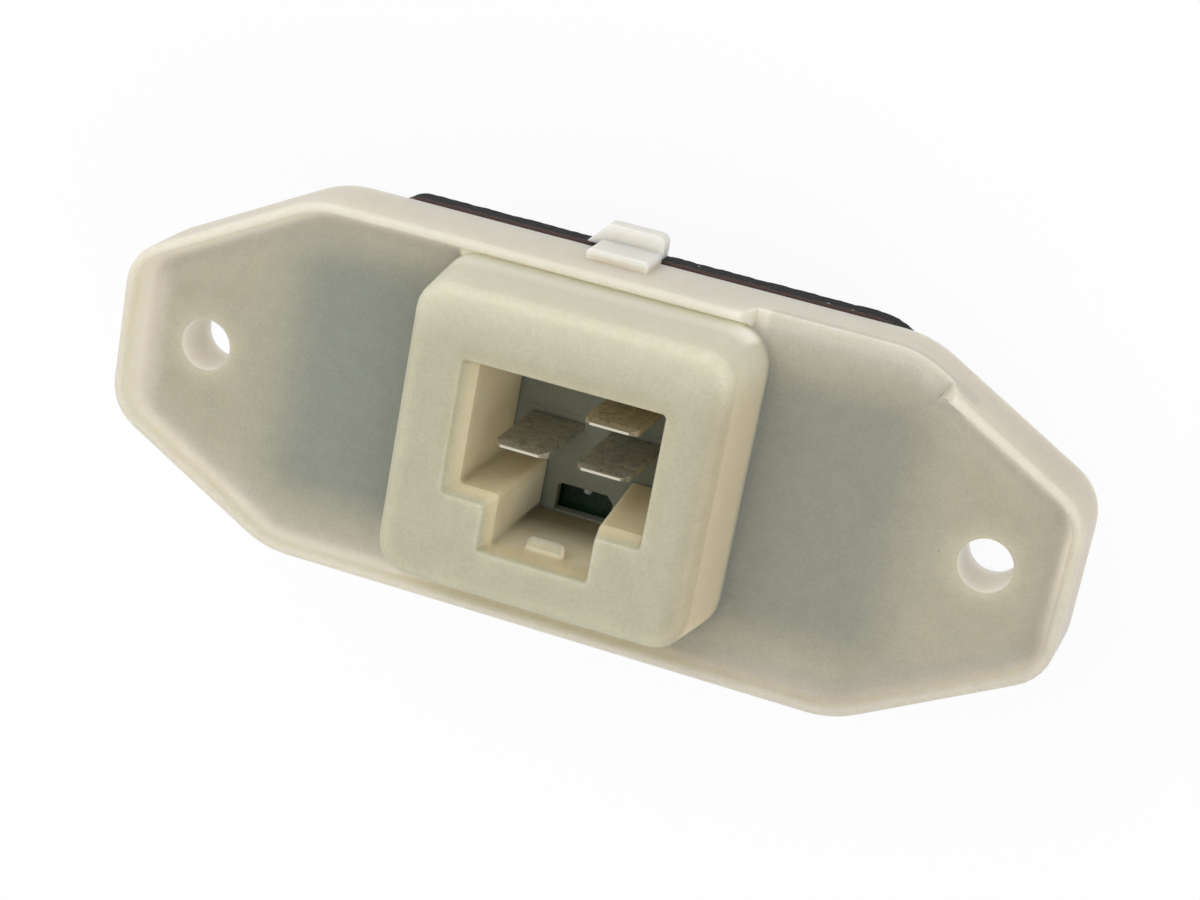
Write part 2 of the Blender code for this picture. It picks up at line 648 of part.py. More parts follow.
def cut_back_wall(housing):
    """Locating rib, window over the board and slots for the blades in the socket's back wall."""
    rib_y = LOWER_ROW + RIB_OFFSET
    rib_low = (-RIB_LENGTH / 2, rib_y - RIB_WIDTH / 2, SOCKET_FLOOR_Z - BACK_WALL / 2)
    rib_high = (RIB_LENGTH / 2, rib_y + RIB_WIDTH / 2, SOCKET_FLOOR_Z + RIB_HEIGHT)
    combine(housing, box("add_rib", rib_low, rib_high), "UNION")
    low = BACK_WALL_Z - OVERSHOOT
    high = SOCKET_FLOOR_Z + OVERSHOOT
    half = WINDOW_WIDTH / 2
    sill = WINDOW_SILL - SLOT_BOTTOM
    top = sill + WINDOW_HEIGHT
    window = [
        Vector((half, sill)),
        Vector((half, top - WINDOW_CHAMFER)),
        Vector((half - WINDOW_CHAMFER, top)),
        Vector((WINDOW_SMALL_CHAMFER - half, top)),
        Vector((-half, top - WINDOW_SMALL_CHAMFER)),
        Vector((-half, sill)),
    ]
    combine(housing, prism("cut_window", window, low, high), "DIFFERENCE")
    for name, x, y in blade_places():
        slot = rectangle(BLADE_WIDTH / 2 + CLEARANCE, BLADE_THICKNESS / 2 + CLEARANCE, x, y)
        combine(housing, prism(f"cut_{name}", slot, low, high), "DIFFERENCE")


def blade_places():
    """Names and places of the three blades; the upper left place of the socket is empty."""
    x = BLADE_PITCH / 2
    upper = LOWER_ROW + ROW_SPACING
    return [
        ("blade_lower_left", -x, LOWER_ROW),
        ("blade_lower_right", x, LOWER_ROW),
        ("blade_upper_right", x, upper),
    ]


def make_housing(material):
    """One moulding: flange, rim, shroud, socket, rear box and all that stands in them."""
    housing = flange_body()
    cut_drain(housing)
    add_shroud(housing)
    add_box(housing)
    add_tab(housing)
    cut_rear(housing)
    cut_ears(housing)
    cut_socket(housing)
    add_catch(housing)
    cut_back_wall(housing)
    cut_pilots(housing)
    cut_holes(housing)
    paint(housing, material)


def make_gasket(material):
    """Foam ring behind the flange, cut steeper at one end than at the other."""
    right = [
        Vector((GASKET_HALF_LENGTH, GASKET_RIGHT_SLANT_WIDTH - GASKET_HALF_WIDTH)),
        Vector((GASKET_HALF_LENGTH, GASKET_HALF_WIDTH - GASKET_RIGHT_SLANT_WIDTH)),
        Vector((GASKET_HALF_LENGTH - GASKET_RIGHT_SLANT_LENGTH, GASKET_HALF_WIDTH)),
    ]
    left = [
        Vector((GASKET_LEFT_SLANT_LENGTH - GASKET_HALF_LENGTH, GASKET_HALF_WIDTH)),
        Vector((-GASKET_HALF_LENGTH, GASKET_HALF_WIDTH - GASKET_LEFT_SLANT_WIDTH)),
        Vector((-GASKET_HALF_LENGTH, GASKET_LEFT_SLANT_WIDTH - GASKET_HALF_WIDTH)),
        Vector((GASKET_LEFT_SLANT_LENGTH - GASKET_HALF_LENGTH, -GASKET_HALF_WIDTH)),
    ]
    last = [Vector((right[2].x, -right[2].y))]
    radii = [GASKET_RIGHT_RADIUS] * 3 + [GASKET_LEFT_RADIUS] * 4 + [GASKET_RIGHT_RADIUS]
    high = FLANGE_BACK_Z - CLEARANCE
    low = high - GASKET_THICKNESS
    gasket = prism("gasket", rounded(right + left + last, radii), low, high)
    opening = prism("cut_gasket", box_outline(-CLEARANCE), low - OVERSHOOT, high + OVERSHOOT)
    combine(gasket, opening, "DIFFERENCE")
    paint(gasket, material)


def make_blades(material):
    """Flat blades with chamfered tips, each with a narrower tail through the board."""
    tip = SOCKET_FLOOR_Z + BLADE_REACH
    shoulder = BOARD_FRONT_Z + CLEARANCE
    levels = [
        (TAIL_WIDTH - BLADE_THICKNESS, BLADE_TIP_THICKNESS, BOARD_BACK_Z - TAIL_PROUD),
        (TAIL_WIDTH, BLADE_THICKNESS, BOARD_BACK_Z - TAIL_PROUD + BLADE_THICKNESS),
        (TAIL_WIDTH, BLADE_THICKNESS, shoulder),
        (BLADE_WIDTH, BLADE_THICKNESS, shoulder + CLEARANCE),
        (BLADE_WIDTH, BLADE_THICKNESS, tip - BLADE_TIP_LENGTH),
        (BLADE_TIP_WIDTH, BLADE_TIP_THICKNESS, tip),
    ]
    for name, x, y in blade_places():
        rings = [(rectangle(width / 2, thickness / 2, x, y), height) for width, thickness, height in levels]
        paint(loft(name, rings), material)


def make_board(material):
    """Board with notched corners round the screw bosses and holes for all that passes through."""
    full = INNER_HALF_LENGTH - BOARD_EDGE_GAP
    wide = INNER_HALF_WIDTH - BOARD_EDGE_GAP
    notch_x = SINK_SCREW_X - SINK_BOSS_DIAMETER / 2 - BOARD_EDGE_GAP
    notch_y = SINK_SCREW_Y - SINK_BOSS_DIAMETER / 2 - BOARD_EDGE_GAP
    quarter = [Vector((full, notch_y)), Vector((notch_x, notch_y)), Vector((notch_x, wide))]
    upper = quarter + [Vector((-corner.x, corner.y)) for corner in reversed(quarter)]
    corners = upper + [-corner for corner in upper]
    outline = rounded(corners, [BOARD_NOTCH_RADIUS] * len(corners))
    board = prism("circuit_board", outline, BOARD_BACK_Z, BOARD_FRONT_Z)
    holes = []
    for number, (sx, sy) in enumerate(corner_signs(), 1):
        radius = (PIN_DIAMETER if sx == sy else BOARD_SCREW_DIAMETER) / 2 + CLEARANCE
        holes.append((f"cut_board_post_{number}", circle(radius, POST_SEGMENTS, sx * POST_X, sy * POST_Y)))
    for name, x, y in blade_places():
        slot = rectangle(TAIL_WIDTH / 2 + CLEARANCE, BLADE_THICKNESS / 2 + CLEARANCE, x, y)
        holes.append((f"cut_board_{name}", slot))
    for number in (-1, 0, 1):
        half_length = LEAD_THICKNESS / 2 + CLEARANCE
        hole = rectangle(half_length, LEAD_WIDTH / 2 + CLEARANCE, LEAD_X, number * LEAD_PITCH)
        holes.append((f"cut_board_lead_{number + 2}", hole))
    for number, sign in enumerate((-1, 1), 1):
        half = CAPACITOR_LEAD / 2 + CLEARANCE
        hole = rectangle(half, half, CAPACITOR_LEAD_X, sign * CAPACITOR_LEAD_PITCH / 2)
        holes.append((f"cut_board_wire_{number}", hole))
    for name, hole in holes:
        cutter = prism(name, hole, BOARD_BACK_Z - OVERSHOOT, BOARD_FRONT_Z + OVERSHOOT)
        combine(board, cutter, "DIFFERENCE")
    paint(board, material)


def make_heat_sink(material):
    """Cast base that closes the rear box, with tapered fins and holes for its screws."""
    base_inset = BOX_WALL + CLEARANCE
    sink = prism("heat_sink", box_outline(base_inset), FIN_HEIGHT, SINK_TOP_Z)
    for number in range(-FINS_PER_SIDE, FINS_PER_SIDE + 1):
        x = number * FIN_PITCH

        def section(thickness, length):
            corners = rectangle(thickness / 2, length / 2, x)
            return rounded(corners, [thickness / 3] * len(corners), steps=ARC_STEPS // 2)

        rings = [
            (section(FIN_TIP - FIN_TIP_EDGE, FIN_LENGTH - 2 * FIN_TAPER - FIN_TIP_EDGE), 0.0),
            (section(FIN_TIP, FIN_LENGTH - 2 * FIN_TAPER), FIN_TIP_EDGE),
            (section(FIN_ROOT, FIN_LENGTH), FIN_HEIGHT + OVERSHOOT),
        ]
        combine(sink, loft(f"add_fin_{number + FINS_PER_SIDE + 1}", rings), "UNION")
    radius = SINK_SCREW_DIAMETER / 2 + CLEARANCE
    for number, (sx, sy) in enumerate(corner_signs(), 1):
        hole = circle(radius, POST_SEGMENTS, sx * SINK_SCREW_X, sy * SINK_SCREW_Y)
        cutter = prism(f"cut_sink_{number}", hole, FIN_HEIGHT - OVERSHOOT, SINK_TOP_Z + OVERSHOOT)
        combine(sink, cutter, "DIFFERENCE")
    tapped = circle(TAB_SCREW_DIAMETER / 2 + CLEARANCE, POST_SEGMENTS, TAB_HOLE_X)
    depth = TAB_SCREW_BITE + HOLE_END
    combine(sink, prism("cut_tapped", tapped, SINK_TOP_Z - depth, SINK_TOP_Z + OVERSHOOT), "DIFFERENCE")
    paint(sink, material)


def make_screw(name, head, head_height, shank, length, place, material, flipped=False):
    """Pan head screw with a cross recess, head down and shank up unless it is flipped."""
    levels = [
        (head * 0.3, 0.0),
        (head * 0.44, head_height * 0.25),
        (head * 0.5, head_height * 0.7),
        (head * 0.5, head_height),
        (shank * 0.5, head_height),
        (shank * 0.5, head_height + length - shank * 0.3),
        (shank * 0.3, head_height + length),
    ]
    screw = loft(name, [(circle(radius, SCREW_SEGMENTS), height) for radius, height in levels])
    reach = head * RECESS_SHARE / 2
    half = RECESS_WIDTH / 2
    cross = box(f"cut_recess_{name}", (-reach, -half, -OVERSHOOT), (reach, half, RECESS_DEPTH))
    other = box(f"cut_recess_side_{name}", (-half, -reach, -OVERSHOOT), (half, reach, RECESS_DEPTH))
    combine(cross, other, "UNION")
    combine(screw, cross, "DIFFERENCE")
    for item in (screw, cross, other):
        item.location = place
        item.rotation_euler.x = math.pi if flipped else 0.0
    paint(screw, material)


def make_sink_screws(material):
    """Four screws up through the heat sink into the corner bosses."""
    for number, (sx, sy) in enumerate(corner_signs(), 1):
        low = FIN_HEIGHT - CLEARANCE - SINK_SCREW_HEAD_HEIGHT
        place = (sx * SINK_SCREW_X, sy * SINK_SCREW_Y, low)
        size = (SINK_SCREW_HEAD, SINK_SCREW_HEAD_HEIGHT, SINK_SCREW_DIAMETER, SINK_SCREW_LENGTH)
        make_screw(f"heat_sink_screw_{number}", *size, place, material)


def make_board_screws(material):
    """Two screws up through the board into its posts."""
    for number, sx in enumerate((-1, 1), 1):
        low = BOARD_BACK_Z - CLEARANCE - BOARD_SCREW_HEAD_HEIGHT
        place = (sx * POST_X, -sx * POST_Y, low)
        size = (BOARD_SCREW_HEAD, BOARD_SCREW_HEAD_HEIGHT, BOARD_SCREW_DIAMETER, BOARD_SCREW_LENGTH)
        make_screw(f"board_screw_{number}", *size, place, material)


def bent_lead(name, start_x, end_x, y, level, thickness, width):
    """Lead that runs along X from a part and turns up through the board."""
    away = math.copysign(1.0, end_x - start_x)
    half = thickness / 2
    high = BOARD_FRONT_Z + LEAD_PROUD
    corners = [
        Vector((start_x, level - half)),
        Vector((end_x + away * half, level - half)),
        Vector((end_x + away * half, high)),
        Vector((end_x - away * half, high)),
        Vector((end_x - away * half, level + half)),
        Vector((start_x, level + half)),
    ]
    shape = bmesh.new()
    face = shape.faces.new([shape.verts.new((corner.x, y - width / 2, corner.y)) for corner in corners])
    sweep = bmesh.ops.extrude_face_region(shape, geom=[face])
    moved = [item for item in sweep["geom"] if isinstance(item, bmesh.types.BMVert)]
    bmesh.ops.translate(shape, vec=(0.0, width, 0.0), verts=moved)
    bmesh.ops.recalc_face_normals(shape, faces=shape.faces)
    return finish(name, shape)


def make_transistor(body_material, pad_material, screw_material):
    """Power transistor with its tab screwed down, on an insulating pad."""
    half = TRANSISTOR_WIDTH / 2
    body_x = TRANSISTOR_X + TRANSISTOR_TAB_LENGTH
    end_x = body_x + TRANSISTOR_BODY_LENGTH
    middle = (body_x + end_x) / 2
    draft = TRANSISTOR_BODY_DRAFT
    rings = []
    for inset, height in ((0.0, 0.0), (0.0, TRANSISTOR_TAB_THICKNESS), (draft, TRANSISTOR_THICKNESS)):
        outline = rectangle(TRANSISTOR_BODY_LENGTH / 2 - inset, half - inset, middle)
        rings.append((outline, TRANSISTOR_Z + height))
    transistor = loft("power_transistor", rings)
    tab_low = (TRANSISTOR_X, draft - half, TRANSISTOR_Z)
    tab_high = (body_x + OVERSHOOT, half - draft, TRANSISTOR_Z + TRANSISTOR_TAB_THICKNESS - draft)
    combine(transistor, box("add_tab_plate", tab_low, tab_high), "UNION")
    hole = circle(TAB_HOLE_DIAMETER / 2, POST_SEGMENTS, TAB_HOLE_X)
    high = TRANSISTOR_Z + TRANSISTOR_TAB_THICKNESS + OVERSHOOT
    combine(transistor, prism("cut_tab_hole", hole, TRANSISTOR_Z - OVERSHOOT, high), "DIFFERENCE")
    level = TRANSISTOR_Z + LEAD_RISE
    for number in (-1, 0, 1):
        route = (end_x - OVERSHOOT, LEAD_X, number * LEAD_PITCH, level)
        lead = bent_lead(f"add_lead_{number + 2}", *route, LEAD_THICKNESS, LEAD_WIDTH)
        combine(transistor, lead, "UNION")
    paint(transistor, body_material)

    pad_half = half + PAD_MARGIN
    pad_centre = (TRANSISTOR_X + end_x) / 2
    pad_length = (end_x - TRANSISTOR_X) / 2 + PAD_MARGIN
    pad = prism("thermal_pad", rectangle(pad_length, pad_half, pad_centre), PAD_Z, PAD_Z + PAD_THICKNESS)
    combine(pad, prism("cut_pad", hole, PAD_Z - OVERSHOOT, PAD_Z + OVERSHOOT), "DIFFERENCE")
    paint(pad, pad_material)

    washer_z = TRANSISTOR_Z + TRANSISTOR_TAB_THICKNESS + CLEARANCE
    ring = circle(WASHER_DIAMETER / 2, SCREW_SEGMENTS, TAB_HOLE_X)
    washer = prism("transistor_washer", ring, washer_z, washer_z + WASHER_THICKNESS)
    bore = circle(TAB_SCREW_DIAMETER / 2 + CLEARANCE, SCREW_SEGMENTS, TAB_HOLE_X)
    cutter = prism("cut_washer", bore, washer_z - OVERSHOOT, washer_z + OVERSHOOT)
    combine(washer, cutter, "DIFFERENCE")
    paint(washer, screw_material)

    seat = washer_z + WASHER_THICKNESS + CLEARANCE
    length = seat - SINK_TOP_Z + TAB_SCREW_BITE
    place = (TAB_HOLE_X, 0.0, seat + TAB_SCREW_HEAD_HEIGHT)
    size = (TAB_SCREW_HEAD, TAB_SCREW_HEAD_HEIGHT, TAB_SCREW_DIAMETER, length)
    make_screw("transistor_screw", *size, place, screw_material, flipped=True)


def make_capacitor(material):
    """Lying can with a rolled groove near its leads, which turn up through the board."""
    radius = CAPACITOR_DIAMETER / 2
    roll = CAPACITOR_ROLL
    groove = CAPACITOR_GROOVE
    levels = [
        (radius - roll, 0.0),
        (radius, roll),
        (radius, groove - roll),
        (radius - roll, groove),
        (radius, groove + roll),
        (radius, CAPACITOR_LENGTH - roll),
        (radius - roll, CAPACITOR_LENGTH),
    ]
    can = loft("smoothing_capacitor", [(circle(size, CAN_SEGMENTS), height) for size, height in levels])
    level = BOARD_BACK_Z - CLEARANCE - radius
    can.data.transform(Matrix.Rotation(math.pi / 2, 4, "Y"))
    can.data.transform(Matrix.Translation((CAPACITOR_X, 0.0, level)))
    for number, sign in enumerate((-1, 1), 1):
        route = (CAPACITOR_X + roll, CAPACITOR_LEAD_X, sign * CAPACITOR_LEAD_PITCH / 2, level)
        combine(can, bent_lead(f"add_wire_{number}", *route, CAPACITOR_LEAD, CAPACITOR_LEAD), "UNION")
    paint(can, material)


def make_chip(material):
    """Small control chip with four legs on each long side, on the back of the board."""
    high = BOARD_BACK_Z - CLEARANCE
    body_top = high - CHIP_LEG_THICKNESS
    draft = CHIP_LEG_THICKNESS
    middle = body_top - CHIP_THICKNESS / 2
    rings = []
    for inset, height in ((draft, body_top - CHIP_THICKNESS), (0.0, middle), (draft, body_top)):
        rings.append((rectangle(CHIP_LENGTH / 2 - inset, CHIP_WIDTH / 2 - inset, CHIP_X, CHIP_Y), height))
    chip = loft("control_chip", rings)
    for number in range(CHIP_LEGS_PER_SIDE):
        x = CHIP_X + (number - (CHIP_LEGS_PER_SIDE - 1) / 2) * CHIP_LEG_PITCH
        for side, sign in (("low", -1), ("high", 1)):
            combine(chip, chip_leg(f"add_leg_{number + 1}_{side}", x, sign, middle, high), "UNION")
    paint(chip, material)


def chip_leg(name, x, sign, middle, high):
    """Gull wing leg, bent from the middle of the body to the board."""
    near = CHIP_WIDTH / 2 - CHIP_LEG_REACH / 2
    knee = CHIP_WIDTH / 2 + CHIP_LEG_REACH / 3
    far = CHIP_WIDTH / 2 + CHIP_LEG_REACH
    thick = CHIP_LEG_THICKNESS
    profile = [
        (near, middle - thick / 2),
        (knee + thick, middle - thick / 2),
        (knee + thick, high - thick),
        (far, high - thick),
        (far, high),
        (knee, high),
        (knee, middle + thick / 2),
        (near, middle + thick / 2),
    ]
    shape = bmesh.new()
    half = CHIP_LEG_WIDTH / 2
    face = shape.faces.new([shape.verts.new((x - half, CHIP_Y + sign * y, z)) for y, z in profile])
    sweep = bmesh.ops.extrude_face_region(shape, geom=[face])
    moved = [item for item in sweep["geom"] if isinstance(item, bmesh.types.BMVert)]
    bmesh.ops.translate(shape, vec=(CHIP_LEG_WIDTH, 0.0, 0.0), verts=moved)
    bmesh.ops.recalc_face_normals(shape, faces=shape.faces)
    return finish(name, shape)


def flat_part(name, length, width, thickness, x, y, material):
    """Surface part with raised end caps, on the back of the board."""
    high = BOARD_BACK_Z - CLEARANCE
    rise = SMALL_PART_CAP
    body_low = (x - length / 2, y - width / 2 + rise, high - thickness)
    body = box(name, body_low, (x + length / 2, y + width / 2 - rise, high - rise))
    for side, sign in (("left", -1), ("right", 1)):
        inner = x + sign * (length / 2 - SMALL_PART_END)
        outer = x + sign * (length / 2 + rise)
        low = (min(inner, outer), y - width / 2, high - thickness - rise)
        cap_high = (max(inner, outer), y + width / 2, high)
        combine(body, box(f"add_{name}_{side}", low, cap_high), "UNION")
    paint(body, material)


def make_flat_parts(resistor_material, capacitor_material, shunt_material):
    """Shunt resistor beside the chip, and a row of chip resistors and capacitors."""
    shunt_size = (SHUNT_LENGTH, SHUNT_WIDTH, SHUNT_THICKNESS)
    flat_part("shunt_resistor", *shunt_size, SHUNT_X, CHIP_Y, shunt_material)
    names = ["chip_resistor_1", "chip_resistor_2", "chip_capacitor_1"]
    names += ["chip_capacitor_2", "chip_resistor_3", "chip_resistor_4"]
    for number, name in enumerate(names):
        x = (number - (len(names) - 1) / 2) * SMALL_PART_PITCH
        is_resistor = name.startswith("chip_resistor")
        thickness = SMALL_RESISTOR_THICKNESS if is_resistor else SMALL_CAPACITOR_THICKNESS
        material = resistor_material if is_resistor else capacitor_material
        flat_part(name, SMALL_PART_LENGTH, SMALL_PART_WIDTH, thickness, x, SMALL_PART_Y, material)


def main():
    """Build every sub-part."""
    clear_scene()
    screw_steel = make_material("zinc_plated_steel", (0.62, 0.62, 0.6), 0.35, 1.0)
    make_housing(make_material("ivory_plastic", (0.7, 0.66, 0.53), 0.45))
    make_gasket(make_material("black_foam", (0.03, 0.028, 0.026), 0.95))
    make_blades(make_material("tinned_brass", (0.56, 0.53, 0.44), 0.35, 1.0))
    make_board(make_material("green_laminate", (0.01, 0.045, 0.018), 0.4))
    make_heat_sink(make_material("cast_aluminium", (0.6, 0.6, 0.6), 0.5, 1.0))
    make_sink_screws(screw_steel)
    make_board_screws(screw_steel)
    pad_material = make_material("grey_silicone", (0.45, 0.47, 0.5), 0.8)
    make_transistor(make_material("black_epoxy", (0.015, 0.015, 0.016), 0.5), pad_material, screw_steel)
    make_capacitor(make_material("aluminium_can", (0.66, 0.66, 0.66), 0.3, 1.0))
    make_chip(make_material("black_chip", (0.012, 0.012, 0.013), 0.5))
    resistor = make_material("dark_ceramic", (0.02, 0.02, 0.022), 0.4)
    make_flat_parts(resistor, make_material("tan_ceramic", (0.45, 0.33, 0.2), 0.5), resistor)


main()
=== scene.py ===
"""Looks of the blower motor resistor: ivory moulding, foam gasket, blades, board and heat sink."""

import math

import bpy
from mathutils import Matrix, Vector


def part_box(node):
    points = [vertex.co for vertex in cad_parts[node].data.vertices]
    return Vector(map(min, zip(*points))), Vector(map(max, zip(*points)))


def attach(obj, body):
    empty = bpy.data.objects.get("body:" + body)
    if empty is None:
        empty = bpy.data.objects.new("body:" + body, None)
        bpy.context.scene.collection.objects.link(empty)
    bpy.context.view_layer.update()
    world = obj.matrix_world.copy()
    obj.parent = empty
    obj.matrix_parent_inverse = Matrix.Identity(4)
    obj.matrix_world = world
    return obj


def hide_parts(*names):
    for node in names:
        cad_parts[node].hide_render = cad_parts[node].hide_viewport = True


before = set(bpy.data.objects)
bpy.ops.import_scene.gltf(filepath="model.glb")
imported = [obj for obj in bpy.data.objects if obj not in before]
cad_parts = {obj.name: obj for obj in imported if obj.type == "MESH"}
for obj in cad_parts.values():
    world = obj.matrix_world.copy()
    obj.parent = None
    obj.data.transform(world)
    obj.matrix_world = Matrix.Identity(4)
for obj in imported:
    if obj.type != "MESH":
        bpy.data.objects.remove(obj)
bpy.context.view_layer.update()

# Corners of the CAD nodes that other places are worked out from
HOUSING_HIGH = Vector(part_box("housing")[1])
SINK_LOW = Vector(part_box("heat_sink")[0])
BOARD_HIGH = Vector(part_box("circuit_board")[1])
BLADE_TIP_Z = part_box("blade_lower_left")[1][2]
FOAM_TOP_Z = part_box("gasket")[1][2]

# Levels along Z: shroud face, tray floor, rim and the socket's back wall
MOUTH_Z = HOUSING_HIGH.z
TRAY_Z = MOUTH_Z - 0.0114
RIM_Z = TRAY_Z + 0.0031
SOCKET_FLOOR_Z = MOUTH_Z - 0.01754

# Moves of the housing's points, as area in X and Y, level and shift. They take away the lead-in of the
# socket's upper and right walls and of the slot's right wall, and lower the rib over the lower blades
LEAD_IN_Z = MOUTH_Z - 0.0018
RIB_Z = SOCKET_FLOOR_Z + 0.0003
POINT_MOVES = (
    ((0.0095, 0.013, -0.011, 0.012), LEAD_IN_Z, (0.0014, 0.0, 0.0)),
    ((0.0048, 0.0062, -0.011, -0.003), LEAD_IN_Z, (0.00095, 0.0, 0.0)),
    ((-0.013, 0.013, 0.0086, 0.012), LEAD_IN_Z, (0.0, 0.0014, 0.0)),
    ((-0.0095, 0.0095, 0.001, 0.0025), RIB_Z, (0.0, 0.0, -0.00018)),
)

# Openings of the back wall, narrowed to close round the blades: their centres, the room round each and
# the depth below the wall's face in which their points lie, and the narrowing
BLADE_CENTRES = ((-0.00485, 0.00075), (0.00485, 0.00075), (0.00485, 0.00615))
BLADE_ROOM = (0.0037, 0.001)
BLADE_ROOM_DEPTH = 0.002
BLADE_FIT = (0.93, 0.66, 1.0)

# Solder joint on the board, shaped by steps of rise and narrowing
SOLDER_DOT_PLACE = (-0.0005, -0.0076)
SOLDER_DOT_RADIUS = 0.00055
SOLDER_DOT_GAP = 0.00002
SOLDER_DOT_SIDES = 24
SOLDER_DOT_STEPS = (
    (0.00004, 0.96), (0.00006, 0.86), (0.00008, 0.85), (0.0001, 0.88), (0.0001, 0.92), (0.00008, 0.8),
    (0.00004, 0.6),
)

# Merging and softening of the CAD nodes' copies
MERGE_DISTANCE = 0.000002
LEVEL_SLACK = 0.00002
FLAT_ANGLE = math.radians(1.0)
SMOOTH_ANGLE = math.radians(35.0)
EDGE_ANGLE = math.radians(32.0)
MOULDED_EDGE = 0.00022
FOAM_VOXEL = 0.00045
FOAM_ROUGHNESS = 0.00022
FOAM_CELL = 0.0011
FOAM_MID_LEVEL = 0.6

# Camera, found from the flange, shroud and socket edges in the photograph
CAMERA_PLACE = Vector((0.07143, 0.09469, 0.30038))
CAMERA_AIM = Vector((0.00235, 0.00085, 0.0389))
CAMERA_ROLL = math.radians(-130.29)
CAMERA_LENS = 75.79
SENSOR_WIDTH = 36.0
CAMERA_CLIP_START = 0.01

# Studio: two soft boxes, as place, size and power, the fill of the world and the pale floor
KEY_LIGHT = ((-0.3, 0.45, 0.85), 0.8, 3.7)
SIDE_LIGHT = ((0.6, -0.1, 0.8), 0.7, 2.5)
WORLD_FILL = 0.84
FLOOR_SIZE = 4.0
FLOOR_PAINT = (0.9, 0.9, 0.9, 1.0)
FLOOR_WHITE = 0.9

# Shape of the flange: half its size, the slant of its corners, and the holes with their bosses
TRAY_HALF_LENGTH = HOUSING_HIGH.x - 0.0003
TRAY_HALF_WIDTH = 0.0216
TRAY_SLANT = Vector((0.479, 0.878, 0.0))
TRAY_SLANT_REACH = 0.0359
EDGE_FADE = 0.0015
EDGE_BAND = 0.0014
HOLE_X = 0.0475
BOSS_RADIUS = 0.0058
BORE_RADIUS = 0.0033

# Soft boxes round the places that get painted light and shade of their own, as centre, half size and margin
HOLLOW = ((0.0005, 0.0004, TRAY_Z), (0.0422, 0.0185, 0.02), (0.0096, 0.0068, 0.001))
NOTCH = ((0.0305, 0.0192, TRAY_Z), (0.0125, 0.0036, 0.0016), 0.0008)
RIM_GAP = ((-0.001, 0.0196, TRAY_Z), (0.0172, 0.0011, 0.0029), 0.0007)
SHROUD = ((0.0, 0.00135, TRAY_Z), (0.0199, 0.0189, 0.02), 0.0003)
MOUTH_RING = ((0.0, 0.0047, MOUTH_Z), (0.0138, 0.0087, 0.0012), (0.0025, 0.0025, 0.001))
SOCKET = ((0.0, 0.0, MOUTH_Z - 0.01), (0.0123, 0.0114, 0.0101), 0.0003)
CATCH = ((-0.0003, -0.0083, MOUTH_Z - 0.0055), (0.0026, 0.0014, 0.003), 0.0002)

# Ranges over which the flange's painted light and shade, and the bores' pink, come in: along the axis in
# the name, by the distance from the flange's edge (gap) or by the distance from a hole (reach)
RIGHT_END_X = (0.03, 0.054)
RIGHT_HALF_X = (0.0, 0.03)
LEFT_END_X = (-0.0553, -0.0518)
HOLLOW_X = (-0.01, 0.034)
LOWER_HALF_Y = (0.004, -0.012)
RIM_ENDS_Y = (0.012, 0.004)
TAB_Y = (0.0222, 0.0226)
WALL_GAP = (0.0011, 0.0015)
WALL_FOOT_Z = (TRAY_Z, TRAY_Z + 0.0006)
WALL_HEAD_Z = (RIM_Z - 0.0002, RIM_Z - 0.0018)
RIM_TOP_Z = (RIM_Z - 0.0006, RIM_Z - 0.0001)
FLOOR_FACE_Z = (TRAY_Z + 0.0014, TRAY_Z + 0.0003)
FLOOR_BELOW_Z = (TRAY_Z - 0.003, TRAY_Z - 0.001)
BOSS_REACH = (BOSS_RADIUS + 0.001, BORE_RADIUS + 0.0006)
BOSS_SHARE = 0.5
BORE_REACH = (BORE_RADIUS + 0.0002, BORE_RADIUS)
BORE_Z = (TRAY_Z - 0.0001, TRAY_Z - 0.0005)

# Ranges of the shroud's painted light and shade
SHROUD_FOOT_Z = (TRAY_Z + 0.0002, TRAY_Z + 0.002)
SHROUD_WARM_X = (0.0145, 0.0182)
SHROUD_WALL_X = (0.0172, 0.0182)
SHROUD_WALL_Z = (MOUTH_Z - 0.0002, MOUTH_Z - 0.0022)
SHROUD_TOP_Y = (0.0105, 0.0195)
SHROUD_GAP_Y = (0.0182, 0.0188)
SHROUD_GAP_Z = (TRAY_Z + 0.006, TRAY_Z + 0.0015)

# Ranges of the socket's painted light and shade
MOUTH_RING_SHARE = 0.7
SOCKET_LIP_Z = (MOUTH_Z - 0.0002, MOUTH_Z - 0.0016)
SOCKET_DEPTH_Z = (MOUTH_Z - 0.001, MOUTH_Z - 0.012)
SLOT_Y = (-0.0043, -0.0055)
SLOT_FLOOR_Y = (-0.0092, -0.0099)
SLOT_FRONT_Z = (MOUTH_Z - 0.0018, MOUTH_Z - 0.005)
SLOT_BACK_Z = (MOUTH_Z - 0.006, MOUTH_Z - 0.015)
BACK_WALL_Z = (SOCKET_FLOOR_Z + 0.0004, SOCKET_FLOOR_Z + 0.00014)

# Levels of the foam's brown edge next to the flange and of the blades' bright sheared tips
FOAM_EDGE_Z = (FOAM_TOP_Z - 0.0007, FOAM_TOP_Z - 0.0001)
SHEARED_Z = (BLADE_TIP_Z - 0.0005, BLADE_TIP_Z - 0.0002)
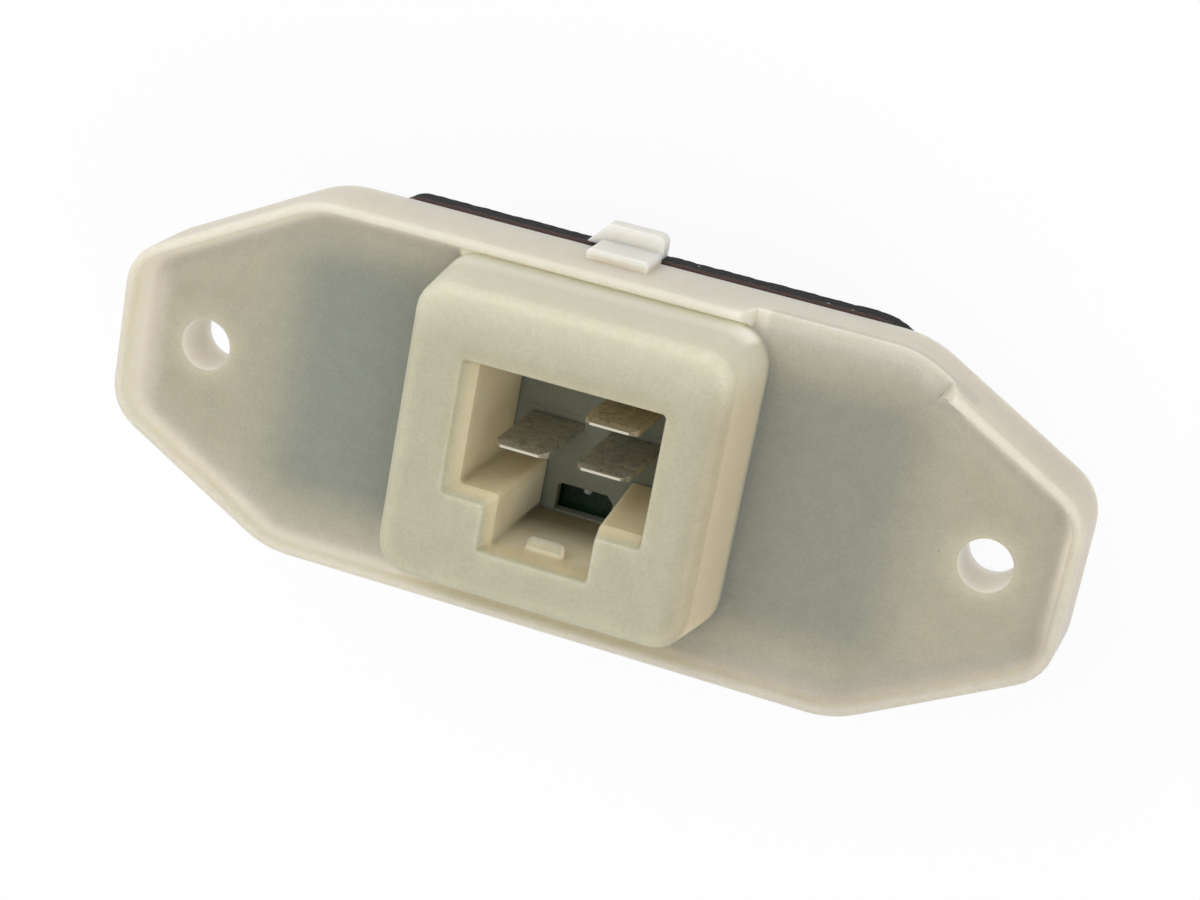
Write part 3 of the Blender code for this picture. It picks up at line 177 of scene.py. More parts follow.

# Colours of the finishes, and of light, shade and highlight painted on them, written as they look on a screen
IVORY = (213, 207, 193)
IVORY_WARM = (213, 205, 190)
WALL_PAINTED_LIGHT = (222, 216, 206)
RIM_GAP_PAINTED_LIGHT = (252, 249, 236)
IVORY_RIGHT_PAINTED_SHADE = (204, 196, 182)
IVORY_LOWER_RIGHT_PAINTED_SHADE = (197, 191, 181)
RIM_TOP_PAINTED_SHADE = (236, 236, 235)
NOTCH_PAINTED_SHADE = (196, 192, 180)
TAB_PAINTED_LIGHT = (220, 217, 208)
BORE_PINK = (234, 228, 219)
BOSS_PAINTED_LIGHT = (186, 181, 160)
SHROUD_PAINTED_SHADE = (183, 180, 158)
SHROUD_TOP_PAINTED_LIGHT = (207, 204, 184)
SHROUD_RIGHT_PAINTED_SHADE = (173, 164, 141)
SHROUD_RIGHT_WALL_PAINTED_LIGHT = (212, 198, 168)
TRAY_PAINTED_SHADE = (173, 168, 149)
HOLLOW_PAINTED_SHADE = (145, 148, 136)
HOLLOW_RIGHT_PAINTED_SHADE = (148, 147, 134)
SOCKET_LIP_PAINTED_SHADE = (210, 198, 164)
MOUTH_RING_PAINTED_SHADE = (175, 168, 142)
CATCH_PAINTED_SHADE = (190, 181, 152)
SOCKET_DEPTH_PAINTED_SHADE = (216, 201, 165)
SLOT_SIDE_PAINTED_LIGHT = (238, 225, 197)
SLOT_FLOOR = (225, 217, 189)
SLOT_BACK_PAINTED_SHADE = (130, 121, 97)
SOCKET_BACK_PAINTED_SHADE = (131, 135, 120)
FOAM_DARK = (22, 21, 22)
FOAM_BROWN = (70, 50, 44)
TIN = (190, 187, 172)
BRASS = (232, 222, 194)
BLADE_TIP = (206, 201, 184)
SOLDER_MASK = (9, 37, 20)
COPPER_UNDER_MASK = (15, 46, 26)
IVORY_SPECK = (120, 108, 92)
FOAM_SPECK = (150, 146, 138)
DRAWN_LINE = (74, 70, 56)
DARK_GRAIN = (60, 58, 50)
LIGHT_GRAIN = (232, 228, 214)
ALUMINIUM, OXIDE = (186, 188, 190), (150, 152, 154)
RUBBED_EDGE, RUB = (226, 227, 229), (214, 215, 217)
ZINC_BLUE, ZINC_STRAW, BRIGHT_STEEL = (184, 188, 194), (196, 190, 170), (230, 230, 230)
CAN_DARK, CAN_LIGHT = (176, 178, 180), (208, 209, 211)
SOLDER_PAINTED_HIGHLIGHT = ((232, 232, 226), (196, 196, 190))
SILICONE = ((150, 154, 160), (118, 122, 128))
EPOXY = ((38, 38, 40), (22, 22, 24))
DARK_CERAMIC = ((44, 44, 48), (26, 26, 30))
TAN_CERAMIC = ((178, 150, 118), (150, 122, 92))
BLACK, WHITE = (0, 0, 0), (255, 255, 255)

# CAD nodes that share a finish
STEEL_NODES = (
    "heat_sink_screw_1", "heat_sink_screw_2", "heat_sink_screw_3", "heat_sink_screw_4", "board_screw_1",
    "board_screw_2", "transistor_screw", "transistor_washer",
)
DARK_NODES = ("shunt_resistor", "chip_resistor_1", "chip_resistor_2", "chip_resistor_3", "chip_resistor_4")
TAN_NODES = ("chip_capacitor_1", "chip_capacitor_2")
EPOXY_NODES = ("power_transistor", "control_chip")
LOWER_BLADES = ("blade_lower_left", "blade_lower_right")


def linear(colour):
    """Linear colour, with alpha, of a colour written as it looks on a screen from 0 to 255."""
    parts = [value / 255 for value in colour]
    return (*(part / 12.92 if part <= 0.04045 else ((part + 0.055) / 1.055) ** 2.4 for part in parts), 1.0)


class Recipe:
    """Node tree of one material or group, with short ways to add its nodes and join them."""

    def __init__(self, tree):
        self.tree = tree

    def add(self, kind, **settings):
        """New node with its settings."""
        node = self.tree.nodes.new("ShaderNode" + kind)
        for name, value in settings.items():
            setattr(node, name, value)
        return node

    def feed(self, socket, value):
        """Join an output to a socket, or set the socket's own value."""
        if isinstance(value, bpy.types.NodeSocket):
            self.tree.links.new(value, socket)
        elif value is not None:
            socket.default_value = value

    def maths(self, operation, *values, clamp=False):
        """Result of a Math node."""
        node = self.add("Math", operation=operation, use_clamp=clamp)
        for socket, value in zip(node.inputs, values):
            self.feed(socket, value)
        return node.outputs[0]

    def spread(self, value, low, high, start=0.0, end=1.0):
        """Value brought smoothly from one range to another."""
        node = self.add("MapRange", interpolation_type="SMOOTHSTEP")
        for socket, item in zip(node.inputs, (value, low, high, start, end)):
            self.feed(socket, item)
        return node.outputs[0]

    def vary(self, pattern, swing, base):
        """Base value raised by a share of a pattern."""
        return self.maths("MULTIPLY_ADD", pattern, swing, base)

    def blend(self, share, first, second, kind="MIX"):
        """Mix of two colours."""
        node = self.add("Mix", data_type="RGBA", blend_type=kind)
        self.feed(node.inputs["Factor"], share)
        self.feed(node.inputs["A"], first)
        self.feed(node.inputs["B"], second)
        return node.outputs["Result"]

    def noise(self, place, scale, detail=2.0, roughness=0.5):
        """Soft random pattern from 0 to 1."""
        node = self.add("TexNoise")
        self.feed(node.inputs["Vector"], place)
        self.feed(node.inputs["Scale"], scale)
        self.feed(node.inputs["Detail"], detail)
        self.feed(node.inputs["Roughness"], roughness)
        return node.outputs["Fac"]

    def noise_colour(self, place, scale, detail=2.0):
        """Soft random pattern with three separate channels, each from 0 to 1."""
        node = self.add("TexNoise")
        self.feed(node.inputs["Vector"], place)
        self.feed(node.inputs["Scale"], scale)
        self.feed(node.inputs["Detail"], detail)
        return node.outputs["Color"]

    def stretch(self, place, scale):
        """Coordinates stretched along the axes."""
        return self.vector("MULTIPLY", place, scale)

    def vector(self, operation, *values):
        """Result of a Vector Math node, a number for a length or a dot product."""
        node = self.add("VectorMath", operation=operation)
        for socket, value in zip(node.inputs, values):
            self.feed(socket, value)
        return node.outputs["Value" if operation in ("LENGTH", "DOT_PRODUCT") else "Vector"]

    def split(self, place):
        """The three coordinates of a place."""
        node = self.add("SeparateXYZ")
        self.feed(node.inputs[0], place)
        return node.outputs

    def drift(self, place, scale, amount):
        """Coordinates that wander by a small amount, so that a mask's border isn't straight."""
        wander = self.vector("SUBTRACT", self.noise_colour(place, scale), (0.5, 0.5, 0.5))
        return self.vector("MULTIPLY_ADD", wander, (amount, amount, 0.0), place)

    def use(self, group, **values):
        """Node of a shared group, with its inputs by name."""
        node = self.add("Group", node_tree=group)
        for name, value in values.items():
            self.feed(node.inputs[name.replace("_", " ")], value)
        return node.outputs

    def bump(self, height, strength, distance):
        """Normal of a surface with small relief."""
        node = self.add("Bump")
        node.inputs["Strength"].default_value = strength
        node.inputs["Distance"].default_value = distance
        self.feed(node.inputs["Height"], height)
        return node.outputs["Normal"]


def new_group(name, inputs, outputs):
    """Empty shader group with named sockets, with its recipe and its two end nodes."""
    group = bpy.data.node_groups.new(name, "ShaderNodeTree")
    for label, kind, value in inputs:
        socket = group.interface.new_socket(label, in_out="INPUT", socket_type=kind)
        if value is not None:
            socket.default_value = value
    for label, kind in outputs:
        group.interface.new_socket(label, in_out="OUTPUT", socket_type=kind)
    ends = [group.nodes.new(kind) for kind in ("NodeGroupInput", "NodeGroupOutput")]
    return group, Recipe(group), *ends


def fine_grain_group():
    """Fine and coarse grain of a matt surface: its height, and its tone from 0 to 1."""
    inputs = [("Vector", "NodeSocketVector", None), ("Scale", "NodeSocketFloat", 1000.0)]
    outputs = [("Height", "NodeSocketFloat"), ("Tone", "NodeSocketFloat")]
    group, recipe, start, end = new_group("fine_grain", inputs, outputs)
    fine = recipe.noise(start.outputs["Vector"], start.outputs["Scale"], 3.0, 0.6)
    coarse_scale = recipe.maths("MULTIPLY", start.outputs["Scale"], 0.21)
    coarse = recipe.noise(start.outputs["Vector"], coarse_scale, 2.0, 0.5)
    height = recipe.maths("MULTIPLY_ADD", coarse, 0.35, recipe.maths("MULTIPLY", fine, 0.65))
    recipe.feed(end.inputs["Height"], height)
    recipe.feed(end.inputs["Tone"], recipe.spread(height, 0.32, 0.68))
    return group


def small_marks_group():
    """Sparse specks and short rubbed marks, as masks."""
    inputs = [
        ("Vector", "NodeSocketVector", None),
        ("Scale", "NodeSocketFloat", 300.0),
        ("Share", "NodeSocketFloat", 0.05),
    ]
    outputs = [("Specks", "NodeSocketFloat"), ("Rubs", "NodeSocketFloat")]
    group, recipe, start, end = new_group("small_marks", inputs, outputs)
    place = start.outputs["Vector"]
    cells = recipe.add("TexVoronoi")
    recipe.feed(cells.inputs["Vector"], place)
    recipe.feed(cells.inputs["Scale"], start.outputs["Scale"])
    dot = recipe.spread(cells.outputs["Distance"], 0.08, 0.16, 1.0, 0.0)
    chosen = recipe.add("SeparateColor")
    recipe.feed(chosen.inputs["Color"], cells.outputs["Color"])
    picked = recipe.maths("LESS_THAN", chosen.outputs["Red"], start.outputs["Share"])
    recipe.feed(end.inputs["Specks"], recipe.maths("MULTIPLY", dot, picked))
    drawn = recipe.stretch(place, (1.0, 0.12, 0.6))
    scratch_scale = recipe.maths("MULTIPLY", start.outputs["Scale"], 6.0)
    scratch = recipe.noise(drawn, scratch_scale, 1.0)
    area = recipe.noise(place, recipe.maths("MULTIPLY", start.outputs["Scale"], 0.3), 1.0)
    rubbed = recipe.maths("MULTIPLY", recipe.spread(scratch, 0.62, 0.72), recipe.spread(area, 0.52, 0.68))
    recipe.feed(end.inputs["Rubs"], rubbed)
    return group


def soft_box_group():
    """Mask of a box round a centre, faded over a margin inside its sides."""
    inputs = [
        ("Vector", "NodeSocketVector", None),
        ("Centre", "NodeSocketVector", None),
        ("Half Size", "NodeSocketVector", None),
        ("Margin", "NodeSocketVector", (0.001, 0.001, 0.001)),
    ]
    group, recipe, start, end = new_group("soft_box", inputs, [("Mask", "NodeSocketFloat")])
    away = recipe.vector("SUBTRACT", start.outputs["Vector"], start.outputs["Centre"])
    left = recipe.vector("SUBTRACT", start.outputs["Half Size"], recipe.vector("ABSOLUTE", away))
    margins = recipe.split(start.outputs["Margin"])
    fades = [recipe.spread(part, 0.0, margin) for part, margin in zip(recipe.split(left), margins)]
    both = recipe.maths("MULTIPLY", fades[0], fades[1])
    recipe.feed(end.inputs["Mask"], recipe.maths("MULTIPLY", both, fades[2]))
    return group


def tray_shade_group():
    """Distances from the flange's edge and from the nearer hole, and how far inside the rim from 0 to 1."""
    outputs = [("Gap", "NodeSocketFloat"), ("Inside", "NodeSocketFloat"), ("From Hole", "NodeSocketFloat")]
    group, recipe, start, end = new_group("tray_shade", [("Vector", "NodeSocketVector", None)], outputs)
    size = recipe.vector("ABSOLUTE", start.outputs["Vector"])
    x, y, _ = recipe.split(size)
    slant = recipe.maths("SUBTRACT", TRAY_SLANT_REACH, recipe.vector("DOT_PRODUCT", size, TRAY_SLANT))
    across = recipe.maths("SUBTRACT", TRAY_HALF_WIDTH, y)
    nearest = recipe.maths("MINIMUM", recipe.maths("SUBTRACT", TRAY_HALF_LENGTH, x), across)
    gap = recipe.maths("MINIMUM", nearest, slant)
    recipe.feed(end.inputs["Gap"], gap)
    inward = recipe.maths("MAXIMUM", recipe.maths("SUBTRACT", gap, EDGE_BAND), 0.0)
    faded = recipe.maths("EXPONENT", recipe.maths("DIVIDE", inward, -EDGE_FADE))
    recipe.feed(end.inputs["Inside"], recipe.maths("SUBTRACT", 1.0, faded))
    flat = recipe.vector("MULTIPLY", recipe.vector("SUBTRACT", size, (HOLE_X, 0.0, 0.0)), (1.0, 1.0, 0.0))
    recipe.feed(end.inputs["From Hole"], recipe.vector("LENGTH", flat))
    return group


def edge_mask_group():
    """Mask of the narrow zone along a surface's edges."""
    inputs = [("Radius", "NodeSocketFloat", 0.0003)]
    group, recipe, start, end = new_group("edge_mask", inputs, [("Mask", "NodeSocketFloat")])
    worn = recipe.add("Bevel", samples=4)
    recipe.feed(worn.inputs["Radius"], start.outputs["Radius"])
    alike = recipe.vector("DOT_PRODUCT", worn.outputs["Normal"], recipe.add("NewGeometry").outputs["Normal"])
    recipe.feed(end.inputs["Mask"], recipe.spread(alike, 0.8, 0.985, 1.0, 0.0))
    return group


FINE_GRAIN = fine_grain_group()
SMALL_MARKS = small_marks_group()
SOFT_BOX = soft_box_group()
TRAY_SHADES = tray_shade_group()
EDGE_MASK = edge_mask_group()


def new_finish(name, roughness, metallic=0.0):
    """Material with a Principled shader, its recipe and its object coordinates."""
    material = bpy.data.materials.new(name)
    material.use_nodes = True
    shader = material.node_tree.nodes["Principled BSDF"]
    shader.inputs["Roughness"].default_value = roughness
    shader.inputs["Metallic"].default_value = metallic
    recipe = Recipe(material.node_tree)
    return material, shader, recipe, recipe.add("TexCoord").outputs["Object"]


def box_mask(recipe, spot, zone):
    """Mask of a soft box, whose margin is one number or one for each axis."""
    centre, half_size, margin = zone
    margins = margin if isinstance(margin, tuple) else (margin,) * 3
    return recipe.use(SOFT_BOX, Vector=spot, Centre=centre, Half_Size=half_size, Margin=margins)["Mask"]


def tint(recipe, colour, other, *masks):
    """Blend towards another colour, or towards an output, where all the masks meet."""
    share = masks[0]
    for mask in masks[1:]:
        share = recipe.maths("MULTIPLY", share, mask)
    return recipe.blend(share, colour, linear(other) if isinstance(other, tuple) else other)


def flange_colour(recipe, spot, z, shroud):
    """Ivory rim with painted light, and painted shade greyer on the tray and darkest over the hollow box."""
    cloud = recipe.noise(spot, scale=70.0)
    colour = recipe.blend(recipe.spread(cloud, 0.3, 0.7), linear(IVORY), linear(IVORY_WARM))
    x, y, _ = recipe.split(spot)
    # Painted shade on the right end of the flange
    colour = tint(recipe, colour, IVORY_RIGHT_PAINTED_SHADE, recipe.spread(x, *RIGHT_END_X))
    # Painted light along the upper edge and on the tab
    colour = tint(recipe, colour, TAB_PAINTED_LIGHT, recipe.spread(y, *TAB_Y))
    place = recipe.drift(spot, scale=60.0, amount=0.0008)
    tray = recipe.use(TRAY_SHADES, Vector=place)

    # Painted light on the rim's inner wall, and painted shade on its top face except along the upper side
    wall = recipe.maths("MULTIPLY", recipe.spread(z, *WALL_FOOT_Z), recipe.spread(z, *WALL_HEAD_Z))
    outside = recipe.maths("SUBTRACT", 1.0, shroud)
    colour = tint(recipe, colour, WALL_PAINTED_LIGHT, wall, recipe.spread(tray["Gap"], *WALL_GAP), outside)
    # Painted shade on the lower right half of the flange
    low = recipe.spread(y, *LOWER_HALF_Y)
    colour = tint(recipe, colour, IVORY_LOWER_RIGHT_PAINTED_SHADE, recipe.spread(x, *RIGHT_HALF_X), low)
    ends = recipe.maths("MULTIPLY", outside, recipe.spread(y, *RIM_ENDS_Y))
    top = recipe.maths("MULTIPLY", recipe.spread(z, *RIM_TOP_Z), ends)
    colour = recipe.blend(top, colour, linear(RIM_TOP_PAINTED_SHADE), "MULTIPLY")
    # Painted shade over the notch
    colour = tint(recipe, colour, NOTCH_PAINTED_SHADE, box_mask(recipe, spot, NOTCH))

    # Painted shade on the tray's floor, darkest over the hollow box, and painted light in the narrow gap
    # between rim and shroud
    floor = recipe.maths("MULTIPLY", recipe.spread(z, *FLOOR_FACE_Z), recipe.spread(z, *FLOOR_BELOW_Z))
    colour = tint(recipe, colour, TRAY_PAINTED_SHADE, floor, tray["Inside"], recipe.spread(x, *LEFT_END_X))
    hollow_shade = recipe.blend(recipe.spread(x, *HOLLOW_X), linear(HOLLOW_PAINTED_SHADE), linear(HOLLOW_RIGHT_PAINTED_SHADE))
    colour = tint(recipe, colour, hollow_shade, floor, box_mask(recipe, place, HOLLOW))
    colour = tint(recipe, colour, RIM_GAP_PAINTED_LIGHT, box_mask(recipe, spot, RIM_GAP))

    # Painted light on the bosses round the holes, and the bores are pink
    boss = recipe.spread(tray["From Hole"], *BOSS_REACH, 0.0, BOSS_SHARE)
    colour = tint(recipe, colour, BOSS_PAINTED_LIGHT, floor, boss)
    bore = recipe.spread(tray["From Hole"], *BORE_REACH)
    return tint(recipe, colour, BORE_PINK, bore, recipe.spread(z, *BORE_Z))


def shroud_colour(recipe, spot, z, colour, shroud):
    """Shroud in greener painted shade, warmer at right, and painted light on its upper edge and right wall.
    """
    x, y, _ = recipe.split(spot)
    high = recipe.maths("MULTIPLY", shroud, recipe.spread(z, *SHROUD_FOOT_Z))
    # Greener painted shade over the shroud
    colour = tint(recipe, colour, SHROUD_PAINTED_SHADE, high)
    # Warmer painted shade on the right of the shroud
    colour = tint(recipe, colour, SHROUD_RIGHT_PAINTED_SHADE, high, recipe.spread(x, *SHROUD_WARM_X))
    # Painted light, warm, on the shroud's right wall below its front edge
    wall = recipe.spread(x, *SHROUD_WALL_X)
    colour = tint(recipe, colour, SHROUD_RIGHT_WALL_PAINTED_LIGHT, high, wall, recipe.spread(z, *SHROUD_WALL_Z))
    # Painted light along the shroud's upper part
    colour = tint(recipe, colour, SHROUD_TOP_PAINTED_LIGHT, high, recipe.spread(y, *SHROUD_TOP_Y))
    # Painted light at the foot of the shroud's upper wall, in the gap by the rim
    foot = recipe.spread(z, *SHROUD_GAP_Z)
    return tint(recipe, colour, RIM_GAP_PAINTED_LIGHT, high, foot, recipe.spread(y, *SHROUD_GAP_Y))


def socket_colour(recipe, spot, z, colour):
    """Painted shade that deepens down the socket, and on a back wall that is thin over the hollow."""
    _, y, _ = recipe.split(spot)
    # Painted shade round the socket's mouth
    ring = recipe.maths("MULTIPLY", box_mask(recipe, spot, MOUTH_RING), MOUTH_RING_SHARE)
    colour = tint(recipe, colour, MOUTH_RING_PAINTED_SHADE, ring)
    inside = box_mask(recipe, spot, SOCKET)
    # Painted warm shade on the socket's lip
    colour = tint(recipe, colour, SOCKET_LIP_PAINTED_SHADE, inside, recipe.spread(z, *SOCKET_LIP_Z))
    # Painted warm shade that deepens down the socket
    depth = recipe.spread(z, *SOCKET_DEPTH_Z)
    colour = tint(recipe, colour, SOCKET_DEPTH_PAINTED_SHADE, inside, depth)
    # Painted light on the slot's sides
    colour = tint(recipe, colour, SLOT_SIDE_PAINTED_LIGHT, inside, depth, recipe.spread(y, *SLOT_Y))
    # Painted light on the front of the slot's floor, and painted shade at its back
    floor = recipe.maths("MULTIPLY", inside, recipe.spread(y, *SLOT_FLOOR_Y))
    colour = tint(recipe, colour, SLOT_FLOOR, floor, recipe.spread(z, *SLOT_FRONT_Z))
    colour = tint(recipe, colour, SLOT_BACK_PAINTED_SHADE, floor, recipe.spread(z, *SLOT_BACK_Z))
    # Painted shade on the catch
    colour = tint(recipe, colour, CATCH_PAINTED_SHADE, box_mask(recipe, spot, CATCH))
    # Painted shade on the back wall, which is thin over the hollow
    return tint(recipe, colour, SOCKET_BACK_PAINTED_SHADE, inside, recipe.spread(z, *BACK_WALL_Z))


def ivory_plastic():
    """Translucent moulding, with painted light and shade where its thin and thick places let light through.
    """
    material, shader, recipe, spot = new_finish("ivory_plastic", roughness=0.52)
    _, _, z = recipe.split(spot)
    shroud = box_mask(recipe, spot, SHROUD)
    colour = flange_colour(recipe, spot, z, shroud)
    colour = shroud_colour(recipe, spot, z, colour, shroud)
    colour = socket_colour(recipe, spot, z, colour)

    grain = recipe.use(FINE_GRAIN, Vector=spot, Scale=2600.0)
    speckle = recipe.blend(grain["Tone"], linear(BLACK), linear(WHITE))
    colour = recipe.blend(0.06, colour, speckle, "OVERLAY")
    marks = recipe.use(SMALL_MARKS, Vector=spot, Scale=900.0, Share=0.01)
    colour = tint(recipe, colour, IVORY_SPECK, recipe.maths("MULTIPLY", marks["Specks"], 0.4))
    recipe.feed(shader.inputs["Base Color"], colour)
    recipe.feed(shader.inputs["Roughness"], recipe.vary(grain["Tone"], swing=0.1, base=0.48))
    recipe.feed(shader.inputs["Normal"], recipe.bump(grain["Height"], strength=0.3, distance=0.00006))
    shader.inputs["Specular IOR Level"].default_value = 0.35
    shader.inputs["Subsurface Weight"].default_value = 1.0
    shader.inputs["Subsurface Radius"].default_value = (1.0, 0.93, 0.72)
    shader.inputs["Subsurface Scale"].default_value = 0.0045
    return material


def black_foam():
    """Closed cell foam with a skin of small cells, brown along its edge next to the flange."""
    material, shader, recipe, spot = new_finish("black_foam", roughness=0.9)
    cells = recipe.add("TexVoronoi", feature="F1")
    recipe.feed(cells.inputs["Vector"], spot)
    recipe.feed(cells.inputs["Scale"], 2600.0)
    cloud = recipe.noise(spot, scale=700.0, detail=3.0)
    _, _, z = recipe.split(spot)
    ragged = recipe.vary(cloud, swing=0.0012, base=z)
    brown_clouds = recipe.spread(cloud, 0.62, 0.8, 0.0, 0.4)
    share = recipe.maths("MAXIMUM", recipe.spread(ragged, *FOAM_EDGE_Z), brown_clouds)
    colour = recipe.blend(share, linear(FOAM_DARK), linear(FOAM_BROWN))
    marks = recipe.use(SMALL_MARKS, Vector=spot, Scale=700.0, Share=0.03)
    recipe.feed(shader.inputs["Base Color"], tint(recipe, colour, FOAM_SPECK, marks["Specks"]))
    height = recipe.vary(cloud, swing=0.5, base=cells.outputs["Distance"])
    recipe.feed(shader.inputs["Normal"], recipe.bump(height, strength=0.8, distance=0.00025))
    recipe.feed(shader.inputs["Roughness"], recipe.vary(cloud, swing=0.1, base=0.85))
    return material


def blade_metal(name, skin, worn):
    """Blade metal with fine drawn lines and specks, worn in clouds, and a bright sheared tip."""
    material, shader, recipe, spot = new_finish(name, roughness=0.45, metallic=0.8)
    _, _, z = recipe.split(spot)
    lines = recipe.noise(recipe.stretch(spot, (1.0, 1.0, 0.06)), scale=9000.0)
    cloud = recipe.noise(spot, scale=420.0, detail=3.0)
    grain = recipe.use(FINE_GRAIN, Vector=spot, Scale=4200.0)
    height = grain["Height"]
    colour = recipe.blend(recipe.spread(cloud, 0.45, 0.75, 0.0, 0.35), linear(skin), linear(worn))
    colour = tint(recipe, colour, DRAWN_LINE, recipe.maths("MULTIPLY", lines, 0.3))
    colour = tint(recipe, colour, DARK_GRAIN, recipe.spread(height, 0.48, 0.36, 0.0, 0.6))
    colour = tint(recipe, colour, LIGHT_GRAIN, recipe.spread(height, 0.54, 0.62, 0.0, 0.6))
    edges = recipe.use(EDGE_MASK, Radius=0.0002)["Mask"]
    colour = tint(recipe, colour, BLADE_TIP, recipe.maths("MULTIPLY", edges, 0.3))
    colour = tint(recipe, colour, BLADE_TIP, recipe.spread(z, *SHEARED_Z))
    recipe.feed(shader.inputs["Base Color"], colour)
    recipe.feed(shader.inputs["Roughness"], recipe.vary(cloud, swing=0.25, base=0.34))
    relief = recipe.vary(height, swing=1.5, base=lines)
    recipe.feed(shader.inputs["Normal"], recipe.bump(relief, strength=0.5, distance=0.00004))
    return material


def green_laminate():
    """Board with green solder mask over copper tracks."""
    material, shader, recipe, spot = new_finish("green_laminate", roughness=0.3)
    tracks = recipe.noise(recipe.stretch(spot, (1.0, 0.3, 1.0)), scale=420.0, detail=0.0)
    copper = recipe.spread(tracks, 0.5, 0.54)
    colour = recipe.blend(copper, linear(SOLDER_MASK), linear(COPPER_UNDER_MASK))
    recipe.feed(shader.inputs["Base Color"], colour)
    grain = recipe.use(FINE_GRAIN, Vector=spot, Scale=4000.0)
    recipe.feed(shader.inputs["Roughness"], recipe.vary(grain["Tone"], swing=0.12, base=0.24))
    recipe.feed(shader.inputs["Normal"], recipe.bump(copper, strength=0.4, distance=0.00003))
    return material


def cast_aluminium():
    """Die cast aluminium: matt skin with fine pits, a cloudy oxide and bright rubbed edges."""
    material, shader, recipe, spot = new_finish("cast_aluminium", roughness=0.5, metallic=1.0)
    grain = recipe.use(FINE_GRAIN, Vector=spot, Scale=2200.0)
    cloud = recipe.noise(spot, scale=160.0, detail=4.0, roughness=0.6)
    colour = recipe.blend(recipe.spread(cloud, 0.35, 0.7), linear(ALUMINIUM), linear(OXIDE))
    edges = recipe.use(EDGE_MASK, Radius=0.0003)["Mask"]
    colour = tint(recipe, colour, RUBBED_EDGE, recipe.maths("MULTIPLY", edges, 0.7))
    marks = recipe.use(SMALL_MARKS, Vector=spot, Scale=380.0, Share=0.06)
    colour = tint(recipe, colour, RUB, recipe.maths("MULTIPLY", marks["Rubs"], 0.5))
    recipe.feed(shader.inputs["Base Color"], colour)
    rough = recipe.vary(grain["Tone"], swing=0.14, base=0.46)
    recipe.feed(shader.inputs["Roughness"], recipe.vary(edges, swing=-0.16, base=rough))
    height = recipe.maths("SUBTRACT", grain["Height"], recipe.maths("MULTIPLY", marks["Specks"], 0.6))
    recipe.feed(shader.inputs["Normal"], recipe.bump(height, strength=0.6, distance=0.00012))
    return material


def plated_steel():
    """Zinc plated screw steel, with a faint blue and straw tint and rubbed edges."""
    material, shader, recipe, spot = new_finish("zinc_plated_steel", roughness=0.32, metallic=1.0)
    cloud = recipe.noise(spot, scale=900.0, detail=3.0)
    colour = recipe.blend(recipe.spread(cloud, 0.38, 0.66), linear(ZINC_BLUE), linear(ZINC_STRAW))
    edges = recipe.use(EDGE_MASK, Radius=0.00015)["Mask"]
    colour = tint(recipe, colour, BRIGHT_STEEL, recipe.maths("MULTIPLY", edges, 0.6))
    recipe.feed(shader.inputs["Base Color"], colour)
    grain = recipe.use(FINE_GRAIN, Vector=spot, Scale=5200.0)
    recipe.feed(shader.inputs["Roughness"], recipe.vary(cloud, swing=0.25, base=0.18))
    recipe.feed(shader.inputs["Normal"], recipe.bump(grain["Height"], strength=0.3, distance=0.00004))
    return material


def matt_finish(name, tones, roughness, scale, relief):
    """Matt material with grain from light to dark, for the small parts on the board and their pad."""
    material, shader, recipe, spot = new_finish(name, roughness)
    light, dark = tones
    grain = recipe.use(FINE_GRAIN, Vector=spot, Scale=scale)
    recipe.feed(shader.inputs["Base Color"], recipe.blend(grain["Tone"], linear(dark), linear(light)))
    rough = recipe.vary(grain["Tone"], swing=0.12, base=roughness - 0.06)
    recipe.feed(shader.inputs["Roughness"], rough)
    recipe.feed(shader.inputs["Normal"], recipe.bump(grain["Height"], strength=0.5, distance=relief))
    return material


def aluminium_can():
    """Drawn aluminium can with rings round it."""
    material, shader, recipe, spot = new_finish("aluminium_can", roughness=0.3, metallic=1.0)
    rings = recipe.noise(recipe.stretch(spot, (1.0, 0.05, 0.05)), scale=7000.0)
    recipe.feed(shader.inputs["Base Color"], recipe.blend(rings, linear(CAN_DARK), linear(CAN_LIGHT)))
    recipe.feed(shader.inputs["Roughness"], recipe.vary(rings, swing=0.2, base=0.2))
    recipe.feed(shader.inputs["Normal"], recipe.bump(rings, strength=0.3, distance=0.00003))
    return material


def pick(piece):
    """Select one object only and make it active."""
    bpy.ops.object.select_all(action="DESELECT")
    piece.select_set(True)
    bpy.context.view_layer.objects.active = piece


def copy_of_node(node, name):
    """Copy of a CAD node as a new piece, with its loose triangles merged into flat faces."""
    piece = bpy.data.objects.new(name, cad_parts[node].data.copy())
    piece.data.materials.clear()
    bpy.context.scene.collection.objects.link(piece)
    pick(piece)
    bpy.ops.mesh.customdata_custom_splitnormals_clear()
    bpy.ops.object.mode_set(mode="EDIT")
    bpy.ops.mesh.select_all(action="SELECT")
    bpy.ops.mesh.remove_doubles(threshold=MERGE_DISTANCE)
    bpy.ops.mesh.dissolve_limited(angle_limit=FLAT_ANGLE)
    bpy.ops.object.mode_set(mode="OBJECT")
    return piece


def apply_modifier(piece, kind, **settings):
    """Add a modifier with its settings and apply it."""
    modifier = piece.modifiers.new(kind.lower(), kind)
    for name, value in settings.items():
        setattr(modifier, name, value)
    pick(piece)
    bpy.ops.object.modifier_apply(modifier=modifier.name)


def dress(piece, node, material):
    """Material and body of a new piece, with the CAD node that it stands for hidden."""
    piece.data.materials.append(material)
    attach(piece, "root")
    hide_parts(node)


